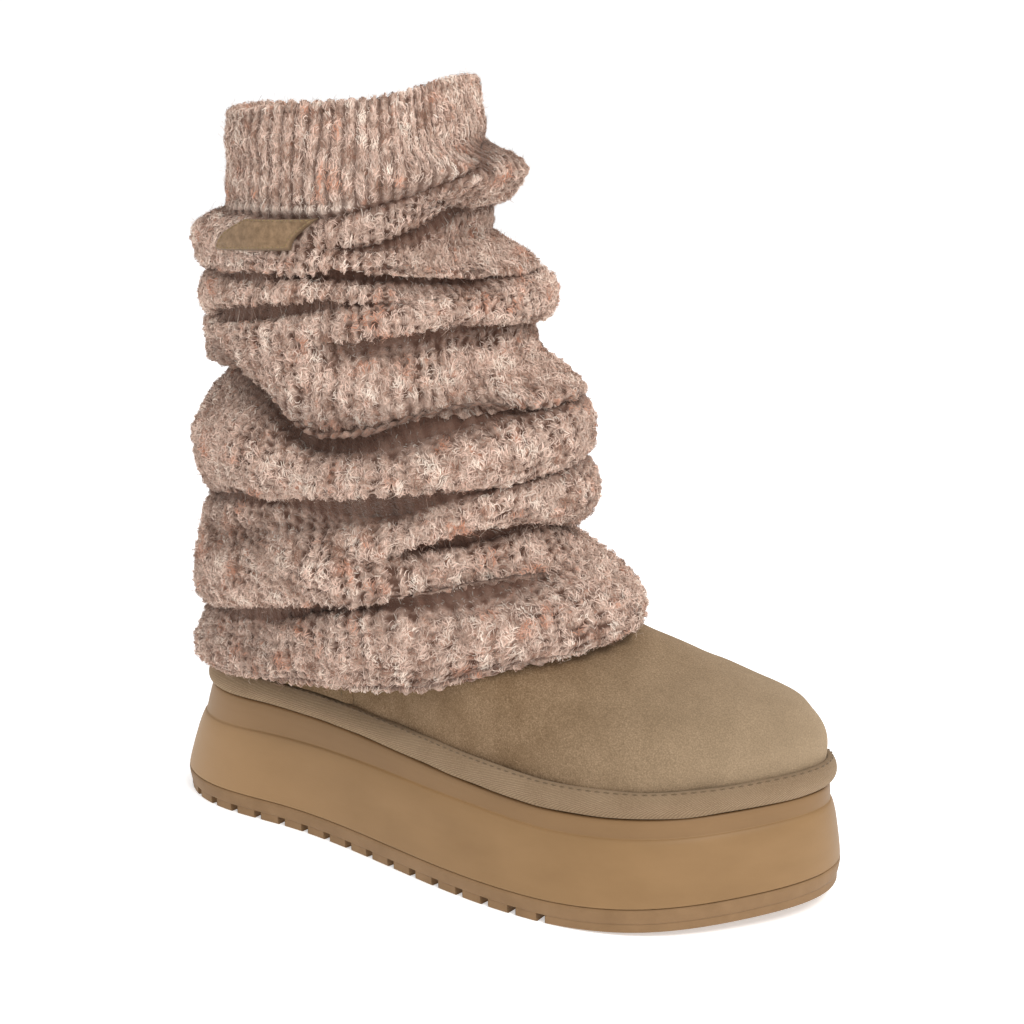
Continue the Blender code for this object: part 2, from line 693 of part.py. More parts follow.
def upper_reach(points, grid):
    """How far the upper reaches from the shaft's axis, in the direction and at the height of
    each point, or 0 well above its collar."""
    bearings = np.arctan2(points[:, 1], points[:, 0] - shaft_axis())
    reach = np.zeros(len(points))
    for i, (bearing, height) in enumerate(zip(bearings, points[:, 2])):
        if height > grid[-1, :, 2].max() + 4 * UPPER_WALL:
            continue
        xs = [np.interp(height, column[:, 2], column[:, 0]) for column in grid.swapaxes(0, 1)]
        ys = [np.interp(height, column[:, 2], column[:, 1]) for column in grid.swapaxes(0, 1)]
        xs = np.array(xs) - shaft_axis()
        around = np.arctan2(ys, xs)
        order = np.argsort(around)
        distances = np.hypot(xs, ys)[order]
        reach[i] = np.interp(bearing, around[order], distances, period=2 * math.pi)
    return reach


def push_out(ring, grid, clearance):
    """The ring with each point at least that far outside the upper."""
    offset = ring[:, :2] - (shaft_axis(), 0)
    distance = np.linalg.norm(offset, axis=1)
    needed = upper_reach(ring, grid) + clearance
    scale = np.maximum(distance, needed * (needed > clearance)) / distance
    ring[:, :2] = offset * scale[:, None] + (shaft_axis(), 0)
    return ring


def make_knit_shaft():
    """The slouched knit tube: rolls and creases outside, a plain bore over the boot inside."""
    grid = upper_surface(np.linspace(0, 1, 40), 2 * UPPER_SIDES)
    cover = COUNTER_STANDOFF + COUNTER_THICKNESS + SHAFT_CLEARANCE
    azimuths = -180 + 360 * np.arange(SHAFT_SIDES) / SHAFT_SIDES
    outer = [
        push_out(ring, grid, cover + THINNEST_HEM) for ring in shaft_rings(azimuths, ROLL_STEPS)
    ]
    heights, depths = crease_lines(azimuths)
    inner = []
    for share in BORE_STEPS:
        height = heights[0] + (heights[-1] - heights[0]) * share
        deepest = [
            np.interp(height[i], heights[:, i], depths[:, i]) for i in range(len(azimuths))
        ]
        ring = shaft_point(azimuths, height, SHAFT_WALL + np.array(deepest))
        inner.append(push_out(ring, grid, cover))
    inner[0][:, 2] = outer[0][:, 2]
    inner[-1][:, 2] = outer[-1][:, 2]
    return loft("knit_shaft", outer + inner[::-1], wrapped=True)


def make_label_patch():
    """The blank leather patch, lying on the knit under the cuff."""
    across = np.linspace(0, 1, 7)
    grids = []
    corners = {name: np.array(place) for name, place in LABEL_CORNERS.items()}
    for standoff in (LABEL_STANDOFF, LABEL_STANDOFF + LABEL_THICKNESS):
        rows = []
        for rise in np.linspace(0, 1, 4):
            back = corners["low_back"] + (corners["top_back"] - corners["low_back"]) * rise
            front = corners["low_front"] + (corners["top_front"] - corners["low_front"]) * rise
            places = back + (front - back) * across[:, None]
            rows.append(shaft_point(places[:, 0], places[:, 1], -standoff))
        grids.append(np.array(rows))
    return slab("label_patch", *grids)


def make_all():
    """Builds every piece of the boot."""
    for piece in list(bpy.data.objects):
        bpy.data.objects.remove(piece, do_unlink=True)
    makers = (
        make_outsole,
        make_midsole,
        make_welt,
        make_upper,
        make_heel_counter,
        make_insole,
        make_knit_shaft,
        make_label_patch,
    )
    for make in makers:
        finish(make())


make_all()
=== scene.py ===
"""The dressed right mukluk boot: slouched chunky knit, suede, twill tape and moulded sole.

Lengths are in metres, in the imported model's frame: the toe points along +X, the wearer's
inner side along +Y, and the floor is at z = 0. The sizes and tables of the sole, the upper and
the shaft repeat those of the solids, so that each dressed piece lies on what it stands for.
"""

import math

import bpy
import numpy as np
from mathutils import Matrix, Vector


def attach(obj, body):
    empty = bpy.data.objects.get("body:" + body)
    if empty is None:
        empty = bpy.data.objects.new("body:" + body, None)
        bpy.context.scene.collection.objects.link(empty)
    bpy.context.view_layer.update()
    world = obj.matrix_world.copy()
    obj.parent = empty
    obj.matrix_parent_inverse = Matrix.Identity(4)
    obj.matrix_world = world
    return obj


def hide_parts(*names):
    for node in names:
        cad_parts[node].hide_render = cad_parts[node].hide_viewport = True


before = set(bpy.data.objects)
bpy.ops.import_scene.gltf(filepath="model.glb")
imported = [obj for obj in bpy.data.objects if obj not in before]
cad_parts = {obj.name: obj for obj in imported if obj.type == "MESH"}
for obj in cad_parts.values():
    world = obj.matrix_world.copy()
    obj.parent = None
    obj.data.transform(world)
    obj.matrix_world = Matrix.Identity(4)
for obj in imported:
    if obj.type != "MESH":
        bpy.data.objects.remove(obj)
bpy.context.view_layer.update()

# Camera, fitted to the photograph's frame
PHOTO_PIXELS = 1024
FOCAL_PIXELS = 2139.0
SENSOR_WIDTH = 36.0
CAMERA_TARGET = Vector((0.0096, 0.0087, 0.1295))
CAMERA_AZIMUTH = 35.0
CAMERA_ELEVATION = 13.9
CAMERA_DISTANCE = 0.800

# Sole
SOLE_LENGTH = 0.280
HEEL_WIDTH = 0.070
WAIST_WIDTH = 0.076
BALL_WIDTH = 0.100
TOE_LEAN = 0.020  # how far the toe's tip lies towards the inner side
SOLE_HEIGHT_HEEL = 0.0452
SOLE_HEIGHT_FORE = 0.0390
TOE_SPRING = 0.0058
OUTSOLE_THICKNESS = 0.0089
OUTSOLE_FLARE = 0.0010
LUG_DEPTH = 0.0034
LUG_WIDTH = 0.0150
LUG_GAP = 0.0034
LUG_TOP_SINK = 0.0010
LUG_SHOULDER = 0.0002
EDGE_LUG_PITCH = 0.0125
CENTRE_LUG_LENGTH = 0.0100
TOE_LUG_START = 0.730  # share of the sole's length from which one lug runs round the toe
MIDSOLE_INSET_SIDE = 0.0081
MIDSOLE_INSET_BACK = 0.0113
MIDSOLE_INSET_TOE = 0.0027
BAND_HEIGHT_HEEL = 0.0130
BAND_HEIGHT_FORE = 0.0065
BAND_STEP = 0.0008
MIDSOLE_FOOT_TUCK = 0.0008
MIDSOLE_BULGE = 0.0004

# Welt and upper
WELT_HEIGHT = 0.0095
WELT_THICKNESS = 0.0034
WELT_BULGE = 0.0016
UPPER_INSET = 0.0038
UPPER_HEIGHT = 0.088
UPPER_WALL = 0.0030
COUNTER_THICKNESS = 0.0013
COUNTER_STANDOFF = 0.0003
COUNTER_REACH = 0.357  # share of the sole's length that the heel counter covers
COUNTER_TOP = 0.55  # share of the upper's height
INSOLE_THICKNESS = 0.0070

# Knit shaft
SHAFT_HEIGHT = 0.220
SHAFT_WIDTH = 0.116
SHAFT_LIFT = 0.0050  # from the welt's top at the heel to the shaft's datum
SHAFT_BASE = SOLE_HEIGHT_HEEL + WELT_HEIGHT + SHAFT_LIFT
SHAFT_WALL = 0.0045
THINNEST_HEM = 0.0020
SHAFT_CLEARANCE = 0.0014  # between the shaft's bore and the heel counter
FOLD_DEPTH = 0.0140
FOLD_SAG = 0.30  # how far a roll hangs down, as a share of how far it stands out
LABEL_THICKNESS = 0.0016
LABEL_STANDOFF = 0.0006

GAP = 0.0003

SOLE_SIDES = 320
UPPER_SIDES = 320

# Sole, seams and edges
LUG_EDGE = 0.0006
PLATE_EDGE = 0.0003
TAPE_RIPPLE = 0.00012
TWILL_PITCH = 0.00075
TAPE_SEAM = 0.96  # how far up the tape its stitches run
COUNTER_EDGE = 0.0016
COUNTER_WAVE = 0.00015
SUEDE_SWELL = 0.0004
LABEL_EDGE = 0.0012
LABEL_WAVE = 0.00012
LABEL_BORDER = 0.0024
LABEL_LINE_WIDTH = 0.00045
LABEL_LINE_DEPTH = 0.00008
LABEL_STITCH_PITCH = 0.0021
LABEL_STITCH_LENGTH = 0.0014
STITCH_PITCH = 0.0034
STITCH_LENGTH = 0.0024
STITCH_RADIUS = 0.00026

# Knit
SHAFT_AXIS = -0.16 * SOLE_LENGTH
RIBS = 66
BODY_RIBS = 74
KNIT_COLUMNS = 396
KNIT_ROW = 0.00092
ROLL_LEAN = 0.78  # below 1 a roll is fullest under its middle
COURSE_HEIGHT = 0.0040  # from one row of stitches to the next
CUFF_RIB_DEPTH = 0.00110
BODY_RIB_DEPTH = 0.00115
CUFF_STITCH_DEPTH = 0.00030
BODY_STITCH_DEPTH = 0.00110
CLUMP_DEPTH = 0.0004
ROLL_ROUNDING = 0.6  # how far the rows crowd towards the creases
CUFF_LOOPS = 0.0022  # the pale loops at the cuff's foot, over its crease
LOOP_WIDTH = 0.0015
LOOP_GROOVE_WIDTH = 0.0009
LOOP_GROOVE_DEPTH = 0.0012
HEM_THICKNESS = 0.0046
HEM_RETURN = 0.0120
HEM_ROWS_HIDDEN = 8  # rows of the hem's return, inside the shaft
RIM_THICKNESS = 0.0042
RIM_RETURN = 0.0060
RIM_DROP = 0.0044  # from the solid's rim down to the last row before the rounding
KNIT_SINK = 0.0010  # room kept for the stitches and fibres
LINING_RISE = -0.0080  # from the knit's rim up to the fleece's edge
LINING_SINK = 0.0012  # room left for the knit's dents
LINING_FOLLOWS = 1.3  # how far the lining moves in, as a share of the knit's troughs
LINING_STILL = 0.274  # the height from which the lining stays where it is
LINING_FADE = 0.010
DARK_CREASE = 0.005  # the depth at which a crease's painted shade is full
DARK_FOLD = 0.006  # the same for a listed trough
FOLD_FADE = 26.0  # degrees over which a listed fold rises from its ends
EDGE_DROP = 0.7  # how far an edge rounds over, as a share of half its thickness
DENT_SIZE = 0.034
DENT_DEPTH = 0.0012
PUCKER_SIZE = 0.012
PUCKER_DEPTH = 0.0007
ROLL_OVER_GREAT = 4  # the roll over the great one, counted from the hem
LINING_DEPTH = 0.0008
FLEECE_CURL = 0.0052

# Loose fibres of the yarn
FIBRE_SETS = 3
FIBRES_PER_SET = 32000
FIBRE_LENGTH = 0.0034
FIBRE_WIDTH = 0.00030
FIBRE_RISE = 0.00065
FIBRE_SPREAD = 60  # degrees off straight up
CUFF_FIBRE_SPREAD = 22
SMALLEST_STEP = 0.0003  # the least distance taken between rows or columns
HAIRS = 11500
HAIR_LENGTH = 0.0050
HAIR_WIDTH = 0.00010
HAIR_RISE = 0.0027

# Light
FLOOR_SPAN = 90.0
WORLD_STRENGTH = 0.62
KEY_POWER = 25.0
FILL_POWER = 3.0
BACK_POWER = 6.0
PAPER_GLOW = 0.45

# Folds laid over the rolls. Columns: the path as bearings about the shaft's axis in
# degrees and heights in metres, the half width, and the height, below 0 for a trough.
# The first one starts at the crease, so it takes only the rolls over the great one.
FOLDS = (
    ("valley over the great roll",
     ((-165, 0.1860), (-138, 0.1800), (-112, 0.1705), (-90, 0.1655), (-75, 0.1645),
      (-61, 0.1658), (-46, 0.1690), (-32, 0.1728), (-5, 0.1810)), 0.0095, -0.0075),
    ("crest of the great roll",
     ((-140, 0.1550), (-117, 0.1520), (-90, 0.1480), (-65, 0.1480), (-41, 0.1530),
      (-22, 0.1612), (5, 0.1720)), 0.0070, 0.0024),
    ("hollow behind the diagonal roll",
     ((-170, 0.1140), (-123, 0.1190), (-104, 0.1245), (-74, 0.1326), (-53, 0.1381),
      (-26, 0.1440)), 0.0072, -0.0058),
    ("diagonal roll",
     ((-150, 0.0900), (-121, 0.0980), (-90, 0.1105), (-65, 0.1200), (-46, 0.1297),
      (-22, 0.1432), (10, 0.1510)), 0.0050, 0.0030),
    ("under the diagonal roll",
     ((-135, 0.0835), (-82, 0.0990), (-53, 0.1090), (-31, 0.1145), (-10, 0.1185)),
     0.0036, -0.0020),
    ("split of the diagonal roll",
     ((-56, 0.1250), (-40, 0.1275), (-24, 0.1308), (-4, 0.1345)), 0.0026, -0.0022),
    ("flank over the toe",
     ((-16, 0.1270), (-4, 0.1240), (6, 0.1130), (14, 0.1040)), 0.0040, 0.0018),
    ("front of the great roll",
     ((-12, 0.1640), (14, 0.1640), (60, 0.1600)), 0.0100, -0.0022),
    ("front of the label's roll",
     ((-30, 0.2330), (10, 0.2325), (60, 0.2320)), 0.0055, -0.0036),
    ("over the cuff's roll",
     ((-34, 0.2640), (0, 0.2632), (30, 0.2640), (80, 0.2650)), 0.0040, -0.0022),
    ("tip of the cuff's roll",
     ((-24, 0.2560), (12, 0.2560), (60, 0.2540)), 0.0080, -0.0016),
    ("back of the hem",
     ((-190, 0.0740), (-150, 0.0750), (-95, 0.0800)), 0.0090, -0.0030),
    ("hollow over the hem",
     ((-60, 0.0985), (-32, 0.1060), (-10, 0.1080), (6, 0.1050)), 0.0050, -0.0018),
    ("under the cuff's roll",
     ((-44, 0.2400), (-26, 0.2425), (-10, 0.2460), (10, 0.2500)), 0.0040, -0.0032),
    ("slant from the cuff",
     ((-62, 0.2350), (-44, 0.2460), (-24, 0.2520), (4, 0.2590)), 0.0036, 0.0016),
    ("under the label",
     ((-90, 0.2185), (-55, 0.2200), (-34, 0.2182), (-11, 0.2200), (2, 0.2230)),
     0.0030, -0.0024),
    ("left of the middle",
     ((-150, 0.2015), (-108, 0.2050), (-86, 0.2080), (-60, 0.2118)), 0.0030, -0.0026),
    ("over the middle roll",
     ((-84, 0.1925), (-48, 0.1952), (-32, 0.1972), (-10, 0.1990), (6, 0.2005)),
     0.0036, -0.0026),
    ("inner valley",
     ((10, 0.1800), (45, 0.1740), (90, 0.1680), (140, 0.1700)), 0.0046, -0.0034),
    ("inner slant",
     ((20, 0.1480), (60, 0.1360), (100, 0.1230), (150, 0.1060)), 0.0050, 0.0022),
    ("inner hollow",
     ((30, 0.1260), (80, 0.1180), (130, 0.1150)), 0.0050, -0.0026),
    ("inner crease under the cuff",
     ((15, 0.2490), (60, 0.2440), (110, 0.2330), (150, 0.2260)), 0.0036, -0.0026),
)

# The sole's outline, from the back of the heel round the outer side to the toe and back.
# Columns: share of the length, the width that the row follows, side as a share of half that
# width, and share of the toe's lean.
OUTLINE = (
    (0.000, "heel", 0.00, 0.00),
    (0.035, "heel", -0.62, 0.00),
    (0.120, "heel", -0.97, 0.00),
    (0.250, "heel", -1.00, 0.00),
    (0.450, "waist", -1.11, 0.00),
    (0.680, "ball", -1.02, 0.00),
    (0.850, "ball", -0.95, 0.31),
    (0.955, "ball", -0.56, 0.78),
    (1.000, "ball", 0.00, 1.00),
    (0.965, "ball", 0.59, 0.63),
    (0.870, "ball", 0.91, 0.24),
    (0.700, "ball", 0.96, 0.00),
    (0.450, "waist", 0.89, 0.00),
    (0.250, "heel", 0.95, 0.00),
    (0.120, "heel", 0.95, 0.00),
    (0.035, "heel", 0.62, 0.00),
)

# The upper's rings, from the foot of the upper to its hidden ankle collar.
# Columns: rise at the back and at the front as shares of the upper's height, back and front
# end as shares of the sole's length, and the share of the foot outline's width at the heel,
# the middle and the forefoot, then the share of the toe's lean.
UPPER_RINGS = (
    (0.000, 0.000, 0.0515, 0.979, 1.00, 1.00, 1.00, 1.00),
    (0.060, 0.060, 0.0510, 0.983, 1.00, 1.00, 1.00, 1.00),
    (0.115, 0.115, 0.0505, 0.985, 1.01, 1.00, 1.00, 1.00),
    (0.180, 0.180, 0.0505, 0.984, 1.02, 1.01, 1.00, 1.00),
    (0.240, 0.235, 0.0505, 0.978, 1.03, 1.01, 0.98, 1.00),
    (0.300, 0.290, 0.0510, 0.966, 1.04, 1.01, 0.95, 0.98),
    (0.370, 0.355, 0.0530, 0.945, 1.05, 1.00, 0.90, 0.95),
    (0.450, 0.418, 0.0560, 0.905, 1.06, 0.98, 0.81, 0.88),
    (0.530, 0.480, 0.0600, 0.857, 1.08, 0.95, 0.70, 0.78),
    (0.610, 0.552, 0.0660, 0.793, 1.10, 0.92, 0.57, 0.62),
    (0.700, 0.635, 0.0730, 0.718, 1.13, 0.90, 0.45, 0.46),
    (0.790, 0.730, 0.0800, 0.646, 1.17, 0.90, 0.41, 0.32),
    (0.890, 0.840, 0.0870, 0.582, 1.22, 0.92, 0.46, 0.18),
    (1.000, 1.045, 0.0950, 0.512, 1.28, 0.96, 0.57, 0.08),
)

# The shaft's sections without its creases, from below the hem to above the rim.
# Columns: height as a share of the shaft's, back and front end as shares of the sole's
# length, half width as a share of half the shaft's width, and the section's squareness.
SHAFT_SECTIONS = (
    (-0.050, 0.028, 0.765, 0.72, 2.35),
    (0.030, 0.026, 0.757, 0.80, 2.30),
    (0.090, 0.029, 0.752, 0.87, 2.20),
    (0.140, 0.031, 0.752, 0.91, 2.15),
    (0.185, 0.031, 0.751, 0.94, 2.10),
    (0.230, 0.036, 0.726, 0.95, 2.05),
    (0.275, 0.046, 0.652, 0.97, 2.00),
    (0.320, 0.052, 0.646, 1.00, 2.00),
    (0.370, 0.041, 0.668, 1.00, 2.00),
    (0.430, 0.040, 0.664, 1.02, 2.00),
    (0.500, 0.055, 0.660, 1.00, 2.00),
    (0.550, 0.064, 0.650, 0.94, 2.00),
    (0.590, 0.065, 0.585, 0.91, 2.00),
    (0.690, 0.063, 0.594, 0.92, 2.00),
    (0.740, 0.062, 0.575, 0.89, 2.00),
    (0.785, 0.064, 0.520, 0.86, 2.00),
    (0.825, 0.110, 0.518, 0.82, 2.00),
    (0.870, 0.116, 0.542, 0.80, 2.00),
    (0.910, 0.116, 0.560, 0.78, 2.00),
    (0.945, 0.115, 0.497, 0.77, 2.00),
    (0.970, 0.115, 0.487, 0.76, 2.00),
    (1.100, 0.115, 0.480, 0.76, 2.00),
)

# Azimuths of the crease columns below, in degrees: 0 is the toe, 90 the inner side.
CREASE_AZIMUTHS = (-180, -135, -110, -90, -70, -50, -30, -10, 20, 60, 100, 140)

# One row a crease, from the hem up to the rim: its name, its height as a percentage of the
# shaft's at each azimuth, and its depth there as a percentage of the fold depth.
CREASES = (
    ("hem", (-1.5, -1, 1.5, 3.5, 6.5, 11.5, 14, 16, 17, 12, 5, 0),
     (20, 20, 25, 30, 30, 30, 30, 30, 30, 30, 30, 25)),
    ("above the hem", (11, 11, 14, 18.5, 21.5, 24, 25.5, 25.5, 25.5, 23, 18.5, 14),
     (50, 50, 57, 50, 43, 43, 30, 7, 0, 20, 36, 43)),
    ("front tuck", (23, 23, 24, 26, 28, 31, 32.5, 33.5, 30.5, 29, 27, 24.5),
     (0, 0, 0, 0, 21, 57, 71, 78, 86, 57, 10, 0)),
    ("under the great roll", (32, 32.5, 35, 36, 37, 39, 41, 42.5, 43, 40, 37, 34),
     (57, 57, 30, 36, 43, 43, 50, 50, 43, 43, 36, 43)),
    ("over the great roll", (54.5, 55, 52, 45.5, 46, 49.5, 52, 53, 53.5, 52, 51, 53),
     (105, 122, 118, 107, 93, 80, 68, 57, 36, 43, 57, 78)),
    ("middle front", (60, 61.5, 61.5, 61, 62, 64, 65.5, 65.5, 65, 63, 61.5, 60.5),
     (0, 0, 0, 0, 21, 50, 64, 64, 43, 50, 36, 14)),
    ("middle back", (63.5, 64, 66, 68, 69.5, 69.5, 70, 70, 70, 69, 67, 64.5),
     (50, 50, 36, 36, 28, 7, 0, 0, 0, 0, 21, 43)),
    ("under the label", (72, 72, 72, 73, 74, 74, 73.5, 73, 73, 74.5, 73, 71.5),
     (57, 50, 36, 36, 50, 71, 79, 71, 43, 50, 43, 57)),
    ("front under the cuff", (76.5, 76.5, 76.5, 77, 77.5, 78, 80.5, 83.5, 84, 81, 79.5, 77.5),
     (0, 0, 0, 0, 7, 36, 57, 64, 57, 43, 28, 7)),
    ("cuff", (81.5, 81.5, 82, 82, 82.5, 85, 88.5, 91.5, 93.5, 91, 87, 83.5),
     (21, 21, 21, 21, 21, 28, 28, 28, 28, 21, 21, 21)),
    ("rim", (99.8, 99, 99.8, 100.4, 100.9, 101.3, 102.4, 104, 104.3, 102.9, 99.9, 99.5),
     (10, 10, 10, 10, 10, 10, 10, 10, 10, 10, 10, 10)),
)

# The label's lower and upper edge on the shaft, from back to front: azimuth in degrees, and
# height as a share.
LABEL_LOW = ((-114.5, 0.759), (-79.5, 0.771))
LABEL_TOP = ((-103, 0.814), (-73, 0.824))

# Tones of the yarn and of its painted shade, as screen colours
# painted shade between the stitches
KNIT_GAP_SHADE = (94, 68, 57)
# brown runs of the yarn, and also the painted shade in creases and troughs
KNIT_BROWN = (130, 96, 80)
KNIT_TAUPE = (154, 125, 109)
KNIT_GREIGE = (206, 183, 168)
KNIT_PINK = (230, 194, 175)
KNIT_CREAM = (250, 234, 220)
KNIT_RUST = (206, 142, 112)

# The loose fibres' tones from the darkest to the palest, with each one's place from 0 to 1
FIBRE_COLOURS = (
    (0.00, (138, 104, 87)),
    (0.15, (178, 146, 129)),
    (0.38, (209, 185, 170)),
    (0.64, (226, 193, 176)),
    (0.85, (238, 215, 199)),
    (1.00, (246, 230, 215)),
)


def unit(vectors):
    """The vectors at length 1."""
    return vectors / np.maximum(np.linalg.norm(vectors, axis=-1), 1e-12)[..., None]


def closed(rows):
    """The rows with the first one once more at the end."""
    return np.concatenate((rows, rows[:1]))


def travelled(points, axis=0):
    """Metres travelled from point to point along the axis, from 0."""
    steps = np.linalg.norm(np.diff(points, axis=axis), axis=-1)
    start = np.zeros_like(np.take(steps, [0], axis))
    return np.concatenate((start, np.cumsum(steps, axis=axis)), axis=axis)


def eased(share):
    """0 below 0, 1 above 1 and a soft step between."""
    share = np.clip(share, 0, 1)
    return share * share * (3 - 2 * share)


def curve_at(knots, values, slopes, at):
    """A curve with the values and slopes at the knots, read at the given places."""
    index = np.clip(np.searchsorted(knots, at, side="right") - 1, 0, len(knots) - 2)
    span = knots[index + 1] - knots[index]
    share = (at - knots[index]) / span
    if values.ndim > 1:
        span = span[..., None]
        share = share[..., None]
    rest = 1 - share
    return (
        values[index] * rest * rest * (1 + 2 * share)
        + values[index + 1] * share * share * (3 - 2 * share)
        + slopes[index] * span * share * rest * rest
        - slopes[index + 1] * span * share * share * rest
    )


def smooth(knots, values, at):
    """A smooth curve through the values at the knots, read at the given places."""
    knots = np.asarray(knots, float)
    values = np.asarray(values, float)
    at = np.clip(np.asarray(at, float), knots[0], knots[-1])
    return curve_at(knots, values, np.gradient(values, knots, axis=0), at)


def closed_curve(points, count):
    """A closed cubic spline through the points, as an even run of count points."""
    points = np.asarray(points, float)
    ahead = np.roll(points, -1, axis=0) - points
    spans = np.linalg.norm(ahead, axis=1)[:, None]
    before = np.roll(spans, 1)
    rises = ahead / spans
    own = np.eye(len(points))
    system = 2 * (spans + before) * own + spans * np.roll(own, -1, 1) + before * np.roll(own, 1, 1)
    slopes = np.linalg.solve(system, 3 * (spans * np.roll(rises, 1, axis=0) + before * rises))
    starts = travelled(closed(points))
    places = np.linspace(0, starts[-1], count, endpoint=False)
    return curve_at(starts, closed(points), closed(slopes), places)


def outward(ring):
    """The unit normals of a ring that runs the way of rising azimuth."""
    ahead = np.roll(ring, -1, axis=0) - np.roll(ring, 1, axis=0)
    return unit(np.column_stack((ahead[:, 1], -ahead[:, 0])))


def inset(outline, distance):
    """The outline moved inwards by one distance, or by one a point."""
    return outline - outward(outline) * np.reshape(distance, (-1, 1))


def platform_top(outline):
    """The ground outline drawn in to the platform's top, by its own share at back and toe."""
    x = outline[:, 0]
    facing = outward(outline)[:, 0]
    back = np.clip(-facing, 0, 1) ** 2 * (x < 0)
    toe = np.clip(facing, 0, 1) ** 2 * (x > 0)
    distance = MIDSOLE_INSET_SIDE + (MIDSOLE_INSET_BACK - MIDSOLE_INSET_SIDE) * back
    return inset(outline, distance + (MIDSOLE_INSET_TOE - MIDSOLE_INSET_SIDE) * toe)


def two_sides(outline):
    """The outline's outer and inner side, each from the heel to the toe."""
    ring = np.roll(outline, -int(np.argmin(outline[:, 0])), axis=0)
    tip = int(np.argmax(ring[:, 0]))
    return ring[: tip + 1], closed(ring)[tip:][::-1]


def paired(outline, count):
    """count points of the outline, with points i and count - i across from each other."""
    outer, inner = two_sides(outline)
    shares = (1 - np.cos(np.linspace(0, math.pi, count // 2 + 1))) / 2
    xs = outer[0, 0] + (outer[-1, 0] - outer[0, 0]) * shares
    first, second = (np.column_stack((xs, np.interp(xs, *side.T))) for side in (outer, inner))
    return np.vstack((first, second[1:-1][::-1]))


def ground_outline():
    """The sole's outline on the floor, finely sampled."""
    halves = {"heel": HEEL_WIDTH / 2, "waist": WAIST_WIDTH / 2, "ball": BALL_WIDTH / 2}
    points = [
        ((along - 0.5) * SOLE_LENGTH, side * halves[width] + lean * TOE_LEAN)
        for along, width, side, lean in OUTLINE
    ]
    return closed_curve(points, 720)


def along_share(x):
    """How far x lies along the sole, from 0 at the heel to 1 at the toe."""
    return np.asarray(x) / SOLE_LENGTH + 0.5


def spring(x):
    """How high the sole's underside has risen from the floor at x."""
    return TOE_SPRING * np.clip((along_share(x) - 0.72) / 0.28, 0, None) ** 1.7


def midsole_top(x):
    """The height of the midsole's top, on which the upper and the insole stand."""
    drop = np.clip((along_share(x) - 0.2) / 0.5, 0, 1)
    return SOLE_HEIGHT_HEEL + (SOLE_HEIGHT_FORE - SOLE_HEIGHT_HEEL) * drop + spring(x)


def at_height(outline, heights):
    """A ring of the outline's points at the given heights."""
    return np.column_stack((outline, np.broadcast_to(heights, len(outline))))


def upper_rings(levels, count):
    """Rings of the upper's outer surface at levels from 0, its foot, to 1, its collar."""
    foot = paired(inset(platform_top(ground_outline()), UPPER_INSET), count)
    low = foot[:, 0].min()
    share = (foot[:, 0] - low) / (foot[:, 0].max() - low)
    lean_line = TOE_LEAN * eased((share - 0.55) / 0.45)
    knots = np.linspace(0, 1, len(UPPER_RINGS))
    rings = []
    for row in smooth(knots, UPPER_RINGS, levels):
        rise_back, rise_front, back, front, heel, middle, fore, lean = row
        x = (back + (front - back) * share - 0.5) * SOLE_LENGTH
        width = np.where(
            share < 0.5,
            heel + (middle - heel) * eased(share / 0.5),
            middle + (fore - middle) * eased((share - 0.5) / 0.45),
        )
        y = lean_line * lean + (foot[:, 1] - lean_line) * width
        rise = (rise_back + (rise_front - rise_back) * share) * UPPER_HEIGHT
        rings.append(np.column_stack((x, y, midsole_top(x) + GAP + rise)))
    return np.array(rings)


def upper_surface(levels, offset=0.0, count=UPPER_SIDES):
    """The same rings pushed out, or in, by offset."""
    grid, above, below = (
        upper_rings(np.clip(np.add(levels, step), 0, 1), count) for step in (0, 0.01, -0.01)
    )
    around = np.roll(grid, -1, axis=1) - np.roll(grid, 1, axis=1)
    return grid + unit(np.cross(around, above - below)) * offset


def level_at(height):
    """The upper's level at a height above its foot."""
    rises = [row[0] for row in UPPER_RINGS]
    return np.interp(height / UPPER_HEIGHT, rises, np.linspace(0, 1, len(rises)))


def shaft_point(azimuths, heights, recess):
    """Points of the knit at azimuths in degrees and heights as shares of the shaft's."""
    table = np.array(SHAFT_SECTIONS)
    back, front, half, squareness = np.moveaxis(smooth(table[:, 0], table[:, 1:], heights), -1, 0)
    cosine = np.cos(np.radians(azimuths))
    sine = np.sin(np.radians(azimuths))
    depth = (front - back) / 2 * SOLE_LENGTH
    width = half * SHAFT_WIDTH / 2
    away = unit(np.stack((cosine / depth, sine / width), axis=-1)) * np.asarray(recess)[..., None]
    x = ((front + back) / 2 - 0.5) * SOLE_LENGTH - away[..., 0]
    x = x + depth * np.sign(cosine) * np.abs(cosine) ** (2 / squareness)
    y = width * np.sign(sine) * np.abs(sine) ** (2 / squareness) - away[..., 1]
    return np.stack((x, y, SHAFT_BASE + heights * SHAFT_HEIGHT + 0 * x), axis=-1)


def crease_lines(azimuths):
    """Each crease's height share and its depth at the azimuths, from the hem up."""
    knots = np.add.outer((-360, 0, 360), CREASE_AZIMUTHS).ravel()
    heights, depths = (
        np.array([smooth(knots, np.tile(row[column], 3), azimuths) / 100 for row in CREASES])
        for column in (1, 2)
    )
    return heights, np.clip(depths, 0, None) * FOLD_DEPTH


def new_piece(name, vertices, faces):
    """An object with the given mesh, in the scene."""
    mesh = bpy.data.meshes.new(name)
    mesh.from_pydata(vertices, [], faces)
    piece = bpy.data.objects.new(name, mesh)
    bpy.context.scene.collection.objects.link(piece)
    return piece


def add_uv(piece, name, corners):
    """A UV map from the corners' coordinates, face by face."""
    layer = piece.data.uv_layers.new(name=name)
    layer.data.foreach_set("uv", np.asarray(corners, np.float32).ravel())


